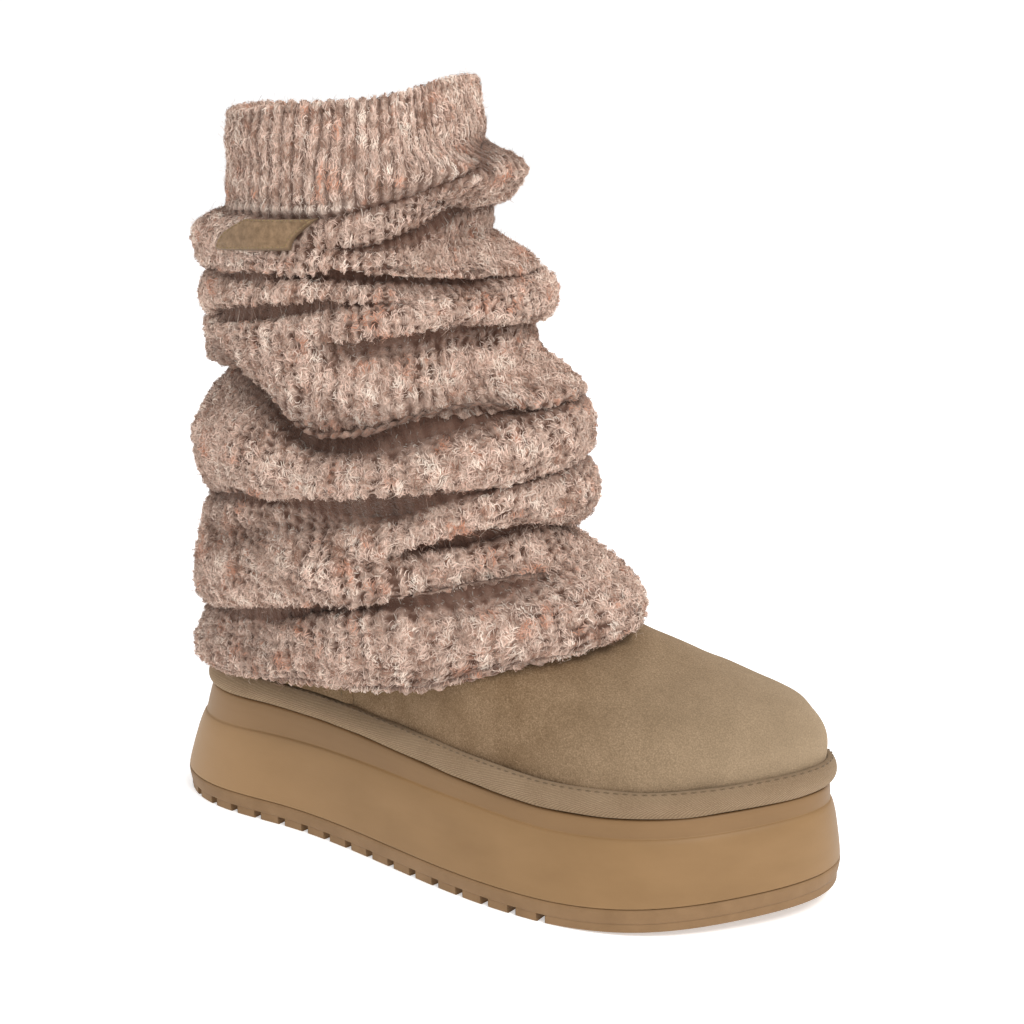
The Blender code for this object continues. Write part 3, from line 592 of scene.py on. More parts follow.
def skin(name, grids, round_closed=True, up_closed=False, smooth_shading=True, lengths=False):
    """A mesh over one grid of rows and columns, or over a list of such grids.

    The UV map OFBake gives each grid its own square. With lengths, which takes one grid, a
    second UV map gives metres along the columns and up the rows.
    """
    grids = grids if isinstance(grids, list) else [grids]
    side = math.ceil(math.sqrt(len(grids)))
    fill = 0.96 if side > 1 else 1.0
    faces = []
    squares = []
    first = 0
    for place, grid in enumerate(grids):
        rows, columns = grid.shape[:2]
        up = rows - (not up_closed)
        across = columns - (not round_closed)
        row, column = np.indices((up, across)).reshape(2, -1, 1)
        row = row + (0, 0, 1, 1)
        column = column + (0, 1, 1, 0)
        faces.append(first + row % rows * columns + column % columns)
        us = (place % side + column / across * fill) / side
        vs = (place // side + row / up * fill) / side
        squares.append(np.stack((us, vs), axis=-1))
        first += rows * columns
    vertices = np.concatenate([grid.reshape(-1, 3) for grid in grids])
    piece = new_piece(name, vertices.tolist(), np.concatenate(faces).tolist())
    add_uv(piece, "OFBake", np.concatenate(squares))
    if lengths:
        around = travelled(np.concatenate((grid, grid[:, :1]), axis=1), axis=1)
        climbed = travelled(grid).mean(axis=1)
        climbed = np.append(climbed, climbed[-1] * rows / (rows - 1))
        add_uv(piece, "Lengths", np.stack((around[row % rows, column], climbed[row]), axis=-1))
    if smooth_shading:
        piece.data.shade_smooth()
    return piece


def paint_points(piece, **values):
    """Stores one number a point on the piece's mesh, under each name."""
    for name, numbers in values.items():
        layer = piece.data.attributes.new(name, "FLOAT", "POINT")
        layer.data.foreach_set("value", np.asarray(numbers, np.float32).ravel())


def normals_of(grid, round_closed=True):
    """Unit normals of a grid whose columns run round and whose rows run up."""
    around = np.gradient(grid, axis=1)
    if round_closed:
        around = np.roll(grid, -1, axis=1) - np.roll(grid, 1, axis=1)
    return unit(np.cross(around, np.gradient(grid, axis=0)))


def ripple(points, size, seed):
    """Smooth noise of about -1 to 1 through space, with features of the given size."""
    waves = 24
    chance = np.random.default_rng(seed)
    ways = unit(chance.normal(size=(waves, 3)))
    scales = chance.uniform(0.6, 1.4, waves)
    phases = chance.uniform(0, 2 * math.pi, waves)
    total = np.zeros(points.shape[:-1])
    for way, scale, phase in zip(ways, scales, phases):
        total += np.cos(points @ way * (math.pi / size * scale) + phase)
    return total / math.sqrt(waves)


def closing_rows(ring, height, steps):
    """Rows that close a ring of paired points towards its middle line, at one height each."""
    middle = (ring + np.roll(ring[::-1], 1, axis=0)) / 2
    rows = [middle + (ring - middle) * share for share in steps]
    return [at_height(row[:, :2], height(row[:, 0])) for row in rows]


def dress(piece, material, node):
    """Gives the piece its material and slot, and lets it stand for the node."""
    piece.data.materials.append(material)
    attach(piece, "root")
    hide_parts(node)


def stitches(kind, path, normals, colour, slot, node, pitch=STITCH_PITCH, length=STITCH_LENGTH):
    """A row of small sunk threads along a path of points, each with the surface's normal."""
    passed = travelled(path)
    stations = np.linspace(0, 1, 6)
    turns = np.linspace(0, 2 * math.pi, 6, endpoint=False)[:, None]
    bow = np.sin(math.pi * stations)[:, None]
    radius = STITCH_RADIUS * (0.35 + 0.65 * bow[:, :, None])
    grids = []
    for start in np.arange(0, passed[-1] - length, pitch):
        places = start + stations * length
        centre, lift = (
            np.stack([np.interp(places, passed, line) for line in values.T], axis=-1)
            for values in (path, normals)
        )
        lift = unit(lift)
        side = unit(np.cross(np.gradient(centre, axis=0), lift))
        centre = centre + lift * STITCH_RADIUS * (bow - 0.45)
        ring = side[:, None] * np.cos(turns) + lift[:, None] * np.sin(turns)
        grids.append(centre[:, None] + ring * radius)
    thread = Finish(f"{kind}_thread", 0.8, 0.2, specular=0.2)
    thread.colour(thread.mix(thread.noise(0.0006), colour, (96, 80, 58)))
    dress(skin(f"{kind}_stitches", grids), thread.material, node)


def border_run(values, inside, lowest=0):
    """The run inside a grid's border: up, across the top and down, and back along lowest."""
    last = [values[lowest, inside:-inside][::-1]] if lowest else []
    left = values[lowest:-inside, inside]
    right = values[lowest:-inside, -inside][::-1]
    return np.vstack([left, values[-inside, inside:-inside], right] + last)


def paint(red, green, blue):
    """The shader's colour for a screen colour given from 0 to 255."""
    shares = np.array((red, green, blue)) / 255
    linear = np.where(shares <= 0.04045, shares / 12.92, ((shares + 0.055) / 1.055) ** 2.4)
    return (*(float(share) for share in linear), 1.0)


class Finish:
    """A material whose nodes are added step by step, with colours as screen colours."""

    def __init__(self, name, roughness, sheen=0.0, sheen_tint=(255, 255, 255), specular=0.3):
        self.material = bpy.data.materials.new(name)
        self.material.use_nodes = True
        self.tree = self.material.node_tree
        self.shader = self.tree.nodes["Principled BSDF"].inputs
        self.connect(self.shader, "Roughness", roughness)
        self.connect(self.shader, "Specular IOR Level", specular)
        self.connect(self.shader, "Sheen Weight", sheen)
        self.connect(self.shader, "Sheen Roughness", 0.5)
        self.connect(self.shader, "Sheen Tint", paint(*sheen_tint))
        self.places = self.add("TexCoord", {})["Object"]
        self.bumps = None

    def connect(self, sockets, name, value):
        """Sets a socket to a number or a colour, or links another socket to it."""
        if isinstance(value, bpy.types.NodeSocket):
            self.tree.links.new(value, sockets[name])
        else:
            sockets[name].default_value = value

    def add(self, kind, inputs, **settings):
        """A new node with the given settings and inputs; returns its outputs."""
        node = self.tree.nodes.new("ShaderNode" + kind)
        for name, value in settings.items():
            setattr(node, name, value)
        for name, value in inputs.items():
            self.connect(node.inputs, name, value)
        return node.outputs

    def noise(self, size, detail=2, roughness=0.5, stretch=None):
        """Noise from 0 to 1 with features of the given size in metres."""
        places = self.places
        if stretch:
            places = self.add("Mapping", {"Scale": stretch, "Vector": places})["Vector"]
        inputs = {"Scale": 1 / size, "Detail": detail, "Roughness": roughness, "Vector": places}
        return self.add("TexNoise", inputs)["Fac"]

    def stored(self, name, kind="Fac"):
        """A value stored on the mesh's points."""
        return self.add("Attribute", {}, attribute_name=name)[kind]

    def ramp(self, value, *stops):
        """A colour read from the stops, each a place from 0 to 1 and a colour."""
        node = self.tree.nodes.new("ShaderNodeValToRGB")
        elements = node.color_ramp.elements
        for place, colour in stops[2:]:
            elements.new(place)
        for element, (place, colour) in zip(elements, sorted(stops)):
            element.position = place
            element.color = paint(*colour)
        self.connect(node.inputs, "Fac", value)
        return node.outputs["Color"]

    def mix(self, share, first, second, blend="MIX"):
        """Two colours mixed by a share."""
        first, second = (paint(*part) if isinstance(part, tuple) else part for part in (first, second))
        inputs = {0: share, 6: first, 7: second}
        return self.add("Mix", inputs, data_type="RGBA", blend_type=blend)[2]

    def tint(self, value, low, high, least, most, base, colour):
        """The base mixed towards a colour, from least to most as the value goes low to high."""
        ends = {"From Min": low, "From Max": high, "To Min": least, "To Max": most}
        share = self.add("MapRange", {**ends, "Value": value})["Result"]
        return self.mix(share, base, colour)

    def colour(self, value):
        self.connect(self.shader, "Base Color", value)

    def bump(self, height, depth):
        """Adds relief of the given depth in metres over the reliefs already there."""
        below = {"Normal": self.bumps} if self.bumps else {}
        self.bumps = self.add("Bump", {"Distance": depth, "Height": height, **below})["Normal"]
        self.connect(self.shader, "Normal", self.bumps)


def knit_finish():
    """Marled yarn: greige, cream and pink in short runs, rust flecks, with painted shade dark between
    stitches and brown in creases.
    """
    finish = Finish("knit_yarn", 0.95, 0.25, KNIT_CREAM, specular=0.1)
    tones = ((0.32, KNIT_TAUPE), (0.46, KNIT_GREIGE), (0.56, KNIT_PINK), (0.68, KNIT_CREAM))
    marl = finish.ramp(finish.noise(0.0026, 4, 0.7), *tones)
    marl = finish.tint(finish.noise(0.024), 0.42, 0.60, 0.0, 0.5, marl, KNIT_GREIGE)
    marl = finish.tint(finish.noise(0.0085, 3, 0.6), 0.52, 0.66, 0.0, 0.6, marl, KNIT_BROWN)
    marl = finish.tint(finish.noise(0.0055, 3, 0.65), 0.57, 0.68, 0.0, 0.65, marl, KNIT_RUST)
    grain = finish.noise(0.0009, 3, 0.7)
    grain = finish.ramp(grain, (0.34, (206, 198, 192)), (0.60, (255, 255, 255)))
    marl = finish.mix(1.0, marl, grain, "MULTIPLY")
    # Painted shade: browner in the creases and troughs.
    marl = finish.tint(finish.stored("hollow"), 0.0, 1.0, 0.0, 0.6, marl, KNIT_BROWN)
    # Painted shade: dark between the stitches, where the crest value is low.
    marl = finish.tint(finish.stored("crest"), 0.10, 0.72, 0.0, 1.0, KNIT_GAP_SHADE, marl)
    finish.colour(finish.tint(finish.stored("loops"), 0.0, 1.0, 0.0, 0.3, marl, KNIT_CREAM))
    finish.bump(finish.noise(0.0011, 3, 0.6), 0.0010)
    return finish.material


def fibre_finish():
    """Loose fibres, each in its own colour."""
    finish = Finish("loose_yarn", 0.9, 0.2, KNIT_CREAM, specular=0.1)
    finish.colour(finish.stored("yarn", "Color"))
    return finish.material


def fleece_finish():
    """Cream curly sheepskin."""
    finish = Finish("sheepskin", 1.0, 0.5, (250, 244, 236), specular=0.1)
    tones = ((0.30, (216, 194, 170)), (0.55, (243, 228, 208)), (0.75, (250, 241, 226)))
    finish.colour(finish.ramp(finish.noise(0.0042, 3), *tones))
    finish.bump(finish.noise(0.0024, 4, 0.65), 0.0020)
    return finish.material


def suede_finish():
    """Short taupe nap: fine salt-and-pepper grain over soft brushed patches, with painted shade at the
    heel end and painted light at the toe.
    """
    finish = Finish("suede", 0.92, 0.55, (190, 168, 142), specular=0.12)
    tones = ((0.30, (101, 79, 56)), (0.50, (131, 108, 83)), (0.70, (162, 137, 110)))
    grain = finish.ramp(finish.noise(0.00055, 3, 0.7), *tones)
    patches = finish.noise(0.014, 5, 0.65)
    brushed = finish.tint(patches, 0.32, 0.68, 0.0, 1.0, (222, 216, 206), (255, 254, 252))
    toned = finish.mix(1.0, grain, brushed, "MULTIPLY")
    along = finish.stored("along")
    # Painted shade: darker towards the heel end.
    toned = finish.tint(along, 0.20, 0.42, 0.35, 0.0, toned, (92, 76, 48))
    # Painted light: paler towards the toe.
    finish.colour(finish.tint(along, 0.66, 1.0, 0.0, 0.45, toned, (176, 158, 132)))
    finish.bump(finish.noise(0.0160), 0.00035)
    finish.bump(finish.noise(0.00060, 3, 0.7), 0.00026)
    return finish.material


def tape_finish():
    """Diagonal twill, a little paler than the suede."""
    finish = Finish("twill_tape", 0.9, 0.35, (200, 184, 160), specular=0.12)
    metres = finish.add("UVMap", {}, uv_map="Lengths")["UV"]
    turn = (0, 0, math.radians(-118))
    turned = finish.add("Mapping", {"Rotation": turn, "Vector": metres})["Vector"]
    wave = {"Scale": 0.314 / TWILL_PITCH, "Distortion": 1.0, "Vector": turned}
    twill = finish.add("TexWave", wave)["Fac"]
    thread = finish.noise(0.00060, 2, 0.6)
    thread = finish.ramp(thread, (0.30, (130, 108, 84)), (0.70, (154, 131, 105)))
    paler = finish.tint(finish.noise(0.012, 3), 0.35, 0.7, 0.0, 0.5, thread, (160, 138, 112))
    finish.colour(finish.tint(twill, 0.0, 0.6, 0.0, 1.0, (124, 102, 79), paler))
    finish.bump(twill, 0.00012)
    finish.bump(finish.noise(0.00050), 0.00010)
    return finish.material


def foam_finish():
    """Moulded tan foam, satin, with faint clouds and pores, painted light at the heel end and painted
    shade on the band under the tape.
    """
    finish = Finish("moulded_foam", 0.52, specular=0.35)
    clouds = finish.noise(0.030, 3, stretch=(1, 1, 2.5))
    clouds = finish.ramp(clouds, (0.30, (135, 104, 67)), (0.70, (144, 112, 74)))
    # Painted light: paler towards the heel end.
    toned = finish.tint(finish.stored("along"), 0.0, 0.40, 0.9, 0.0, clouds, (165, 130, 90))
    # Painted shade: darker on the band under the tape.
    finish.colour(finish.tint(finish.stored("band"), 0.1, 0.9, 0.0, 0.35, toned, (112, 84, 56)))
    finish.bump(finish.noise(0.00045), 0.00005)
    finish.bump(finish.noise(0.0075, stretch=(0.4, 0.4, 2.0)), 0.00008)
    return finish.material


def rubber_finish():
    """Matt tan rubber with faint clouds and a fine grain."""
    finish = Finish("tread_rubber", 0.62)
    clouds = finish.noise(0.012, 4, 0.6)
    finish.colour(finish.ramp(clouds, (0.30, (128, 99, 67)), (0.70, (140, 110, 77))))
    finish.bump(finish.noise(0.00035, 3), 0.00008)
    return finish.material


def patch_finish():
    """Smooth olive-brown leather with a fine grain, darker towards its border."""
    finish = Finish("patch_leather", 0.58, 0.1, specular=0.35)
    grain = finish.noise(0.0030, 5, 0.7)
    grain = finish.ramp(grain, (0.32, (103, 79, 53)), (0.68, (147, 119, 89)))
    finish.colour(finish.mix(finish.stored("border"), grain, (96, 76, 54)))
    cells = finish.add("TexVoronoi", {"Scale": 1 / 0.0009, "Vector": finish.places})
    finish.bump(cells["Distance"], 0.00010)
    finish.bump(finish.noise(0.0004), 0.00005)
    return finish.material


def lug_runs():
    """The footprints of the tread's lugs, as an outer and an inner run of points each."""
    fine = ground_outline()
    inner = inset(fine, LUG_WIDTH)
    passed = travelled(closed(fine))
    whole = passed[-1]

    def run(start, end, count):
        places = np.linspace(start, end, count)
        lines = np.hstack((fine, inner)).T
        values = [np.interp(places, passed[:-1], line, period=whole) for line in lines]
        return np.column_stack(values[:2]), np.column_stack(values[2:])

    in_toe = np.flatnonzero(along_share(fine[:, 0]) > TOE_LUG_START)
    toe = passed[in_toe[[0, -1]]]
    blocks = [run(*toe, 160)]
    for start, end in ((0, toe[0]), (toe[1], whole)):
        count = round((end - start) / EDGE_LUG_PITCH)
        pitch = (end - start - LUG_GAP) / count
        for first in start + LUG_GAP + np.arange(count) * pitch:
            blocks.append(run(first, first + pitch - LUG_GAP, 9))
    sides = two_sides(inner)
    first = sides[0][0, 0] + 2 * LUG_GAP
    last = sides[0][-1, 0] - 2 * LUG_GAP - CENTRE_LUG_LENGTH
    count = int((last - first) / (CENTRE_LUG_LENGTH + LUG_GAP)) + 1
    for start in np.linspace(first, last, count):
        xs = np.linspace(start, start + CENTRE_LUG_LENGTH, 9)
        low, high = (np.interp(xs, *side.T) + gap for side, gap in zip(sides, (LUG_GAP, -LUG_GAP)))
        if np.min(high - low) > LUG_GAP:
            blocks.append((np.column_stack((xs, low)), np.column_stack((xs, high))))
    return blocks


def lug_grid(outer, inner):
    """One lug with rounded lower edges, as rows along its run, with its ends rounded too."""
    across = unit(inner - outer)
    along = unit(np.gradient(outer, axis=0))
    edge = LUG_EDGE
    corner = ((0.0, LUG_DEPTH + LUG_TOP_SINK), (0.0, edge), (0.3 * edge, 0.3 * edge), (edge, 0.0))
    last = len(outer) - 1
    # Each row's point of the run, its rise as a share of the edge, and the way to the middle.
    stations = [(0, 1.0, 1), (0, 0.3, 1), *((i, 0.0, 1) for i in range(last + 1))]
    rows = []
    for i, share, way in stations + [(last, 0.3, -1), (last, 1.0, -1)]:
        line = [(*outer[i] + across[i] * aside, height) for aside, height in corner]
        line += [(*inner[i] - across[i] * aside, height) for aside, height in corner[::-1]]
        line = np.array(line)
        line[:, 2] = np.maximum(line[:, 2], edge * share)
        line[:, :2] += along[i] * way * 0.3 * edge * (share == 1)
        line[:, 2] += spring(line[:, 0])
        rows.append(line)
    ends = [row.mean(axis=0) * np.ones_like(row) for row in (rows[0], rows[-1])]
    return np.array([ends[0], *rows, ends[1]])


def make_outsole():
    """The rubber plate with its rounded lugs."""
    outline = paired(ground_outline(), SOLE_SIDES)
    flared = inset(outline, -OUTSOLE_FLARE)
    shoulder = inset(outline, -LUG_SHOULDER)
    under = spring(outline[:, 0]) + LUG_DEPTH
    low = at_height(shoulder, under)
    rings = closing_rows(low, lambda x: spring(x) + LUG_DEPTH, (0.02, 0.4, 0.8, 0.97))
    for share in np.linspace(0, 1, 10):
        ring = shoulder + (flared - shoulder) * np.sin(share * math.pi / 2)
        ring = inset(ring, PLATE_EDGE * (max(share - 0.9, 0) * 10) ** 2)
        rings.append(at_height(ring, under + (OUTSOLE_THICKNESS - LUG_DEPTH) * share))
    rings += closing_rows(rings[-1], lambda x: spring(x) + OUTSOLE_THICKNESS, (0.9, 0.4, 0.02))
    plate = skin("outsole_plate", np.array(rings))
    lugs = skin("outsole_lugs", [lug_grid(*run) for run in lug_runs()], smooth_shading=False)
    rubber = rubber_finish()
    dress(plate, rubber, "outsole")
    dress(lugs, rubber, "outsole")


def make_midsole():
    """The flared platform: a soft wall, a rounded step and the band under the tape."""
    outline = paired(ground_outline(), SOLE_SIDES)
    foot = inset(outline, -OUTSOLE_FLARE)
    top = platform_top(outline)
    seat = OUTSOLE_THICKNESS + GAP
    low = spring(foot[:, 0]) + seat
    high = midsole_top(top[:, 0])
    drop = np.clip(along_share(top[:, 0]) / 0.6, 0, 1)
    step = 1 - (BAND_HEIGHT_HEEL + (BAND_HEIGHT_FORE - BAND_HEIGHT_HEEL) * drop) / (high - low)
    # Shares of the wall below the step, and how far the wall is tucked in there.
    wall = (
        (0.000, MIDSOLE_FOOT_TUCK * 0.35),
        (0.008, MIDSOLE_FOOT_TUCK * 0.18),
        (0.022, MIDSOLE_FOOT_TUCK * 0.06),
        (0.045, 0.0),
        (0.500, -MIDSOLE_BULGE),
        (0.860, -MIDSOLE_BULGE * 0.3),
        (0.930, BAND_STEP * 0.15),
        (0.970, BAND_STEP * 0.5),
        (1.000, BAND_STEP),
    )
    # The same from the step to the top, with the tucks as shares of the step's depth.
    band = ((0.0, 1.0), (0.10, 0.95), (0.55, 0.6), (0.88, 0.6), (0.96, 0.8), (1.0, 1.3))
    rings = closing_rows(at_height(foot, low), lambda x: spring(x) + seat, (0.9,))
    # Marks the band's rings, which the foam paints in shade under the tape.
    band_shade = [0.0]
    for table, start, end, count in ((wall, 0 * step, step, 34), (band, step, 1 + 0 * step, 18)):
        knots, tucks = np.array(table).T
        scale = BAND_STEP if table is band else 1
        for share in np.union1d(np.linspace(0, 1, count), knots):
            place = (start + (end - start) * share)[:, None]
            ring = foot + (top - foot) * place - outward(foot) * smooth(knots, tucks, share) * scale
            rings.append(at_height(ring, low + (high - low) * place[:, 0]))
            band_shade.append(eased(share / 0.08) if table is band else 0.0)
    grid = np.array(rings + closing_rows(rings[-1], midsole_top, (0.9, 0.4, 0.02)))
    band_shade = np.array(band_shade + [1.0] * 3)
    midsole = skin("midsole_wall", grid)
    paint_points(midsole, band=np.repeat(band_shade, SOLE_SIDES), along=along_share(grid[:, :, 0]))
    dress(midsole, foam_finish(), "midsole")


def make_welt():
    """The bulging twill tape, and the stitches along its upper edge."""
    # Height as a share of the tape's, and distance from the upper.
    profile = (
        (0.00, GAP),
        (0.00, WELT_THICKNESS - WELT_BULGE / 2),
        (0.25, WELT_THICKNESS + WELT_BULGE * 0.7),
        (0.60, WELT_THICKNESS + WELT_BULGE * 0.5),
        (0.90, WELT_THICKNESS * 0.8),
        (1.00, WELT_THICKNESS * 0.5),
        (1.00, GAP),
        (0.50, GAP),
    )
    curve = closed_curve(np.array(profile) * (WELT_HEIGHT, 1), 44)
    height = np.clip(curve[:, 0], 0.0, WELT_HEIGHT)
    distance = np.maximum(curve[:, 1], GAP * 0.6)
    grid = upper_rings(level_at(height), SOLE_SIDES)
    for ring, reach in zip(grid, distance):
        seat = midsole_top(ring[:, 0])
        ring[:, :2] = inset(ring[:, :2], -reach)
        ring[:, 2] += midsole_top(ring[:, 0]) - seat
    normals = normals_of(grid)
    grid += normals * (ripple(grid, 0.011, 5) * TAPE_RIPPLE)[:, :, None]
    welt = skin("welt_tape", grid, up_closed=True, lengths=True)
    dress(welt, tape_finish(), "welt")
    seam = int(np.argmax((height > TAPE_SEAM * WELT_HEIGHT) & (distance > GAP)))
    path = closed(grid[seam])
    stitches("welt", path, closed(normals[seam]), (116, 95, 71), "welt_tape", "welt")


def make_upper(fleece):
    """The suede mini boot down to its foot, with its collar rolled over to the lining."""
    levels = np.linspace(0, 1, 78)
    grid = upper_surface(levels)
    swell = ripple(grid, 0.020, 11) * SUEDE_SWELL + ripple(grid, 0.007, 12) * SUEDE_SWELL * 0.3
    grid += normals_of(grid) * (eased(levels / 0.15)[:, None] * swell)[:, :, None]
    across = upper_surface([1.0], -UPPER_WALL)[0] - grid[-1]
    turns = np.linspace(0, math.pi, 9)[1:, None, None]
    rise = (np.sin(turns) - 1) * UPPER_WALL / 2 * (0, 0, 1)
    turned = grid[-1] + across * (1 - np.cos(turns)) / 2 + rise
    grid[-1, :, 2] -= UPPER_WALL / 2
    outside = np.vstack((grid, turned))
    suede = suede_finish()
    upper = skin("upper_suede", outside)
    paint_points(upper, along=along_share(outside[:, :, 0]))
    dress(upper, suede, "upper")
    make_counter(suede)
    rows = upper_surface(np.linspace(1, 0.02, 70), -UPPER_WALL)[:, ::2]
    rows[0, :, 2] -= UPPER_WALL * 0.4
    curls = ripple(rows, FLEECE_CURL, 21) * LINING_DEPTH
    lining = skin("upper_lining", rows - normals_of(rows) * curls[:, :, None])
    dress(lining, fleece, "upper")


def make_counter(suede):
    """The heel overlay, rounded at its border, with a row of stitches inside the border."""
    foot = upper_rings([0], UPPER_SIDES)[0]
    half = int(np.count_nonzero(along_share(foot[:, 0]) < COUNTER_REACH)) // 2
    levels = np.linspace(level_at(WELT_HEIGHT + 2 * GAP), level_at(COUNTER_TOP * UPPER_HEIGHT), 44)
    base = upper_surface(levels)[:, np.arange(-half, half + 1)]
    normals = normals_of(base, round_closed=False)
    borders = (base[-1:], base[:, :1], base[:, -1:])
    away = np.min([np.linalg.norm(base - border, axis=2) for border in borders], axis=0)
    rounding = np.clip(away / COUNTER_EDGE, 0, 1)
    height = COUNTER_STANDOFF + COUNTER_THICKNESS * np.sqrt(1 - (1 - rounding) ** 2)
    height += ripple(base, 0.012, 13) * COUNTER_WAVE
    grid = base + normals * height[:, :, None]
    counter = skin("heel_counter_suede", grid, round_closed=False)
    paint_points(counter, along=along_share(grid[:, :, 0]))
    dress(counter, suede, "heel_counter")
    path, lifts = (border_run(values, 3) for values in (grid, normals))
    stitches("heel_counter", path, lifts, (128, 110, 84), "suede", "heel_counter")


def make_footbed(fleece):
    """The sheepskin footbed inside the boot."""
    outline = upper_surface([level_at(INSOLE_THICKNESS)], -UPPER_WALL - 2 * GAP)[0]
    rings = []
    for thickness, shares in (
        (GAP, (1.0,)),
        (INSOLE_THICKNESS * 0.85, (1.0,)),
        (INSOLE_THICKNESS, np.linspace(0.97, 0.02, 30)),
    ):
        rings += closing_rows(outline, lambda x: midsole_top(x) + thickness, shares)
    grid = np.array(rings)
    grid[1:, :, 2] += (ripple(grid[1:], FLEECE_CURL, 22) - 1) * LINING_DEPTH * 0.4
    dress(skin("footbed", grid), fleece, "insole")


def make_label():
    """The blank leather patch: soft edges, a pressed border line and a row of stitches."""
    up = np.linspace(0, 1, 60)[:, None, None]
    ends = np.array(LABEL_LOW) + np.subtract(LABEL_TOP, LABEL_LOW) * up
    places = ends[:, :1] + (ends[:, 1:] - ends[:, :1]) * np.linspace(0, 1, 90)[:, None]
    base = shaft_point(places[:, :, 0], places[:, :, 1], -LABEL_STANDOFF)
    normals = normals_of(base, round_closed=False)
    wide = np.linalg.norm(base - base[:, :1], axis=2)
    high = np.linalg.norm(base - base[:1], axis=2)
    inward = np.min([wide, wide[:, -1:] - wide, high, high[-1:] - high], axis=0)
    rounding = np.clip(inward / LABEL_EDGE, 0, 1)
    pressed = np.exp(-(((inward - LABEL_BORDER) / LABEL_LINE_WIDTH) ** 2))
    height = LABEL_THICKNESS * np.sqrt(np.clip(1 - (1 - rounding) ** 2, 0, 1))
    height += LABEL_WAVE * ripple(base, 0.009, 31) - LABEL_LINE_DEPTH * pressed
    grid = base + normals * height[:, :, None]
    label = skin("label_leather", grid, round_closed=False)
    paint_points(label, border=np.clip(1 - inward / (LABEL_EDGE * 0.9), 0, 1) + 0.15 * pressed)
    dress(label, patch_finish(), "label_patch")
    path, lifts = (border_run(values, 5, lowest=5) for values in (grid, normals))
    sizes = (LABEL_STITCH_PITCH, LABEL_STITCH_LENGTH)
    stitches("label", path, lifts, (158, 134, 92), "label_leather", "label_patch", *sizes)


def read_grid(grid, rows, columns):
    """Values of a grid at fractional rows and columns, joined round the columns."""
    wide = grid.shape[1]
    rows = np.clip(rows, 0, grid.shape[0] - 1.001)
    low_row = rows.astype(int)
    low_column = np.floor(columns).astype(int)
    up = rows - low_row
    along = columns - low_column
    if grid.ndim > 2:
        up = up[..., None]
        along = along[..., None]
    total = 0
    for row, share in ((low_row, 1 - up), (low_row + 1, up)):
        total = total + grid[row, low_column % wide] * share * (1 - along)
        total = total + grid[row, (low_column + 1) % wide] * share * along
    return total


def reach_table():
    """How far the upper reaches from the shaft's axis, by height and bearing."""
    columns = upper_surface(np.linspace(0, 1, 40), count=96).swapaxes(0, 1)
    top = columns[:, -1, 2].max() + 4 * UPPER_WALL
    heights = np.linspace(columns[:, 0, 2].min(), top, 70)
    bearings = np.linspace(-math.pi, math.pi, 180, endpoint=False)
    table = []
    for height in heights:
        xs, ys = np.array(
            [[np.interp(height, column[:, 2], column[:, i]) for column in columns] for i in (0, 1)]
        )
        around = np.arctan2(ys, xs - SHAFT_AXIS)
        order = np.argsort(around)
        far = np.hypot(xs - SHAFT_AXIS, ys)
        table.append(np.interp(bearings, around[order], far[order], period=2 * math.pi))
    return heights, np.array(table)


def push_out(points, reach, clearance):
    """The points with each at least that far outside the upper."""
    heights, table = reach
    offset = points[..., :2] - (SHAFT_AXIS, 0)
    distance = np.linalg.norm(offset, axis=-1)
    column = (bearing_of(points) + 180) * table.shape[1] / 360
    row = np.interp(points[..., 2], heights, np.arange(len(heights)))
    needed = (read_grid(table, row, column) + clearance) * (points[..., 2] < heights[-1])
    moved = points.copy()
    scale = np.maximum(distance, needed) / distance
    moved[..., :2] = offset * scale[..., None] + (SHAFT_AXIS, 0)
    return moved


def bearing_of(points):
    """The points' bearings about the shaft's axis, in degrees."""
    return np.degrees(np.arctan2(points[..., 1], points[..., 0] - SHAFT_AXIS))


def even_bearings(count):
    """Bearings that part the shaft's middle ring into runs of even length."""
    fine = np.linspace(-180, 180, 2001)
    ring = shaft_point(fine, np.full(len(fine), 0.55), 0.0)
    passed = travelled(ring)
    places = np.linspace(0, passed[-1], count, endpoint=False)
    return np.interp(places, passed, np.unwrap(bearing_of(ring), period=360))


def straightened(row, bearings):
    """The row's columns read at the given bearings, so that the knit runs straight up."""
    around = bearing_of(row[:-1])
    order = np.argsort(around)
    wanted = (bearings + 180) % 360 - 180
    lines = row[:-1][order].T
    return np.stack([np.interp(wanted, around[order], line, period=360) for line in lines], -1)


def folded_by_hand(grid, rolls):
    """How far the listed folds move each point out, in metres."""
    bearings = bearing_of(grid)
    moved = np.zeros(bearings.shape)
    for number, (name, path, width, height) in enumerate(FOLDS):
        turns, levels = np.array(path).T
        line = smooth(turns, levels, bearings)
        ends = eased((bearings - turns[0]) / FOLD_FADE) * eased((turns[-1] - bearings) / FOLD_FADE)
        taken = ends if number else ends * (rolls >= ROLL_OVER_GREAT)[:, None]
        moved += height * taken * np.exp(-(((grid[:, :, 2] - line) / width) ** 2))
    return moved


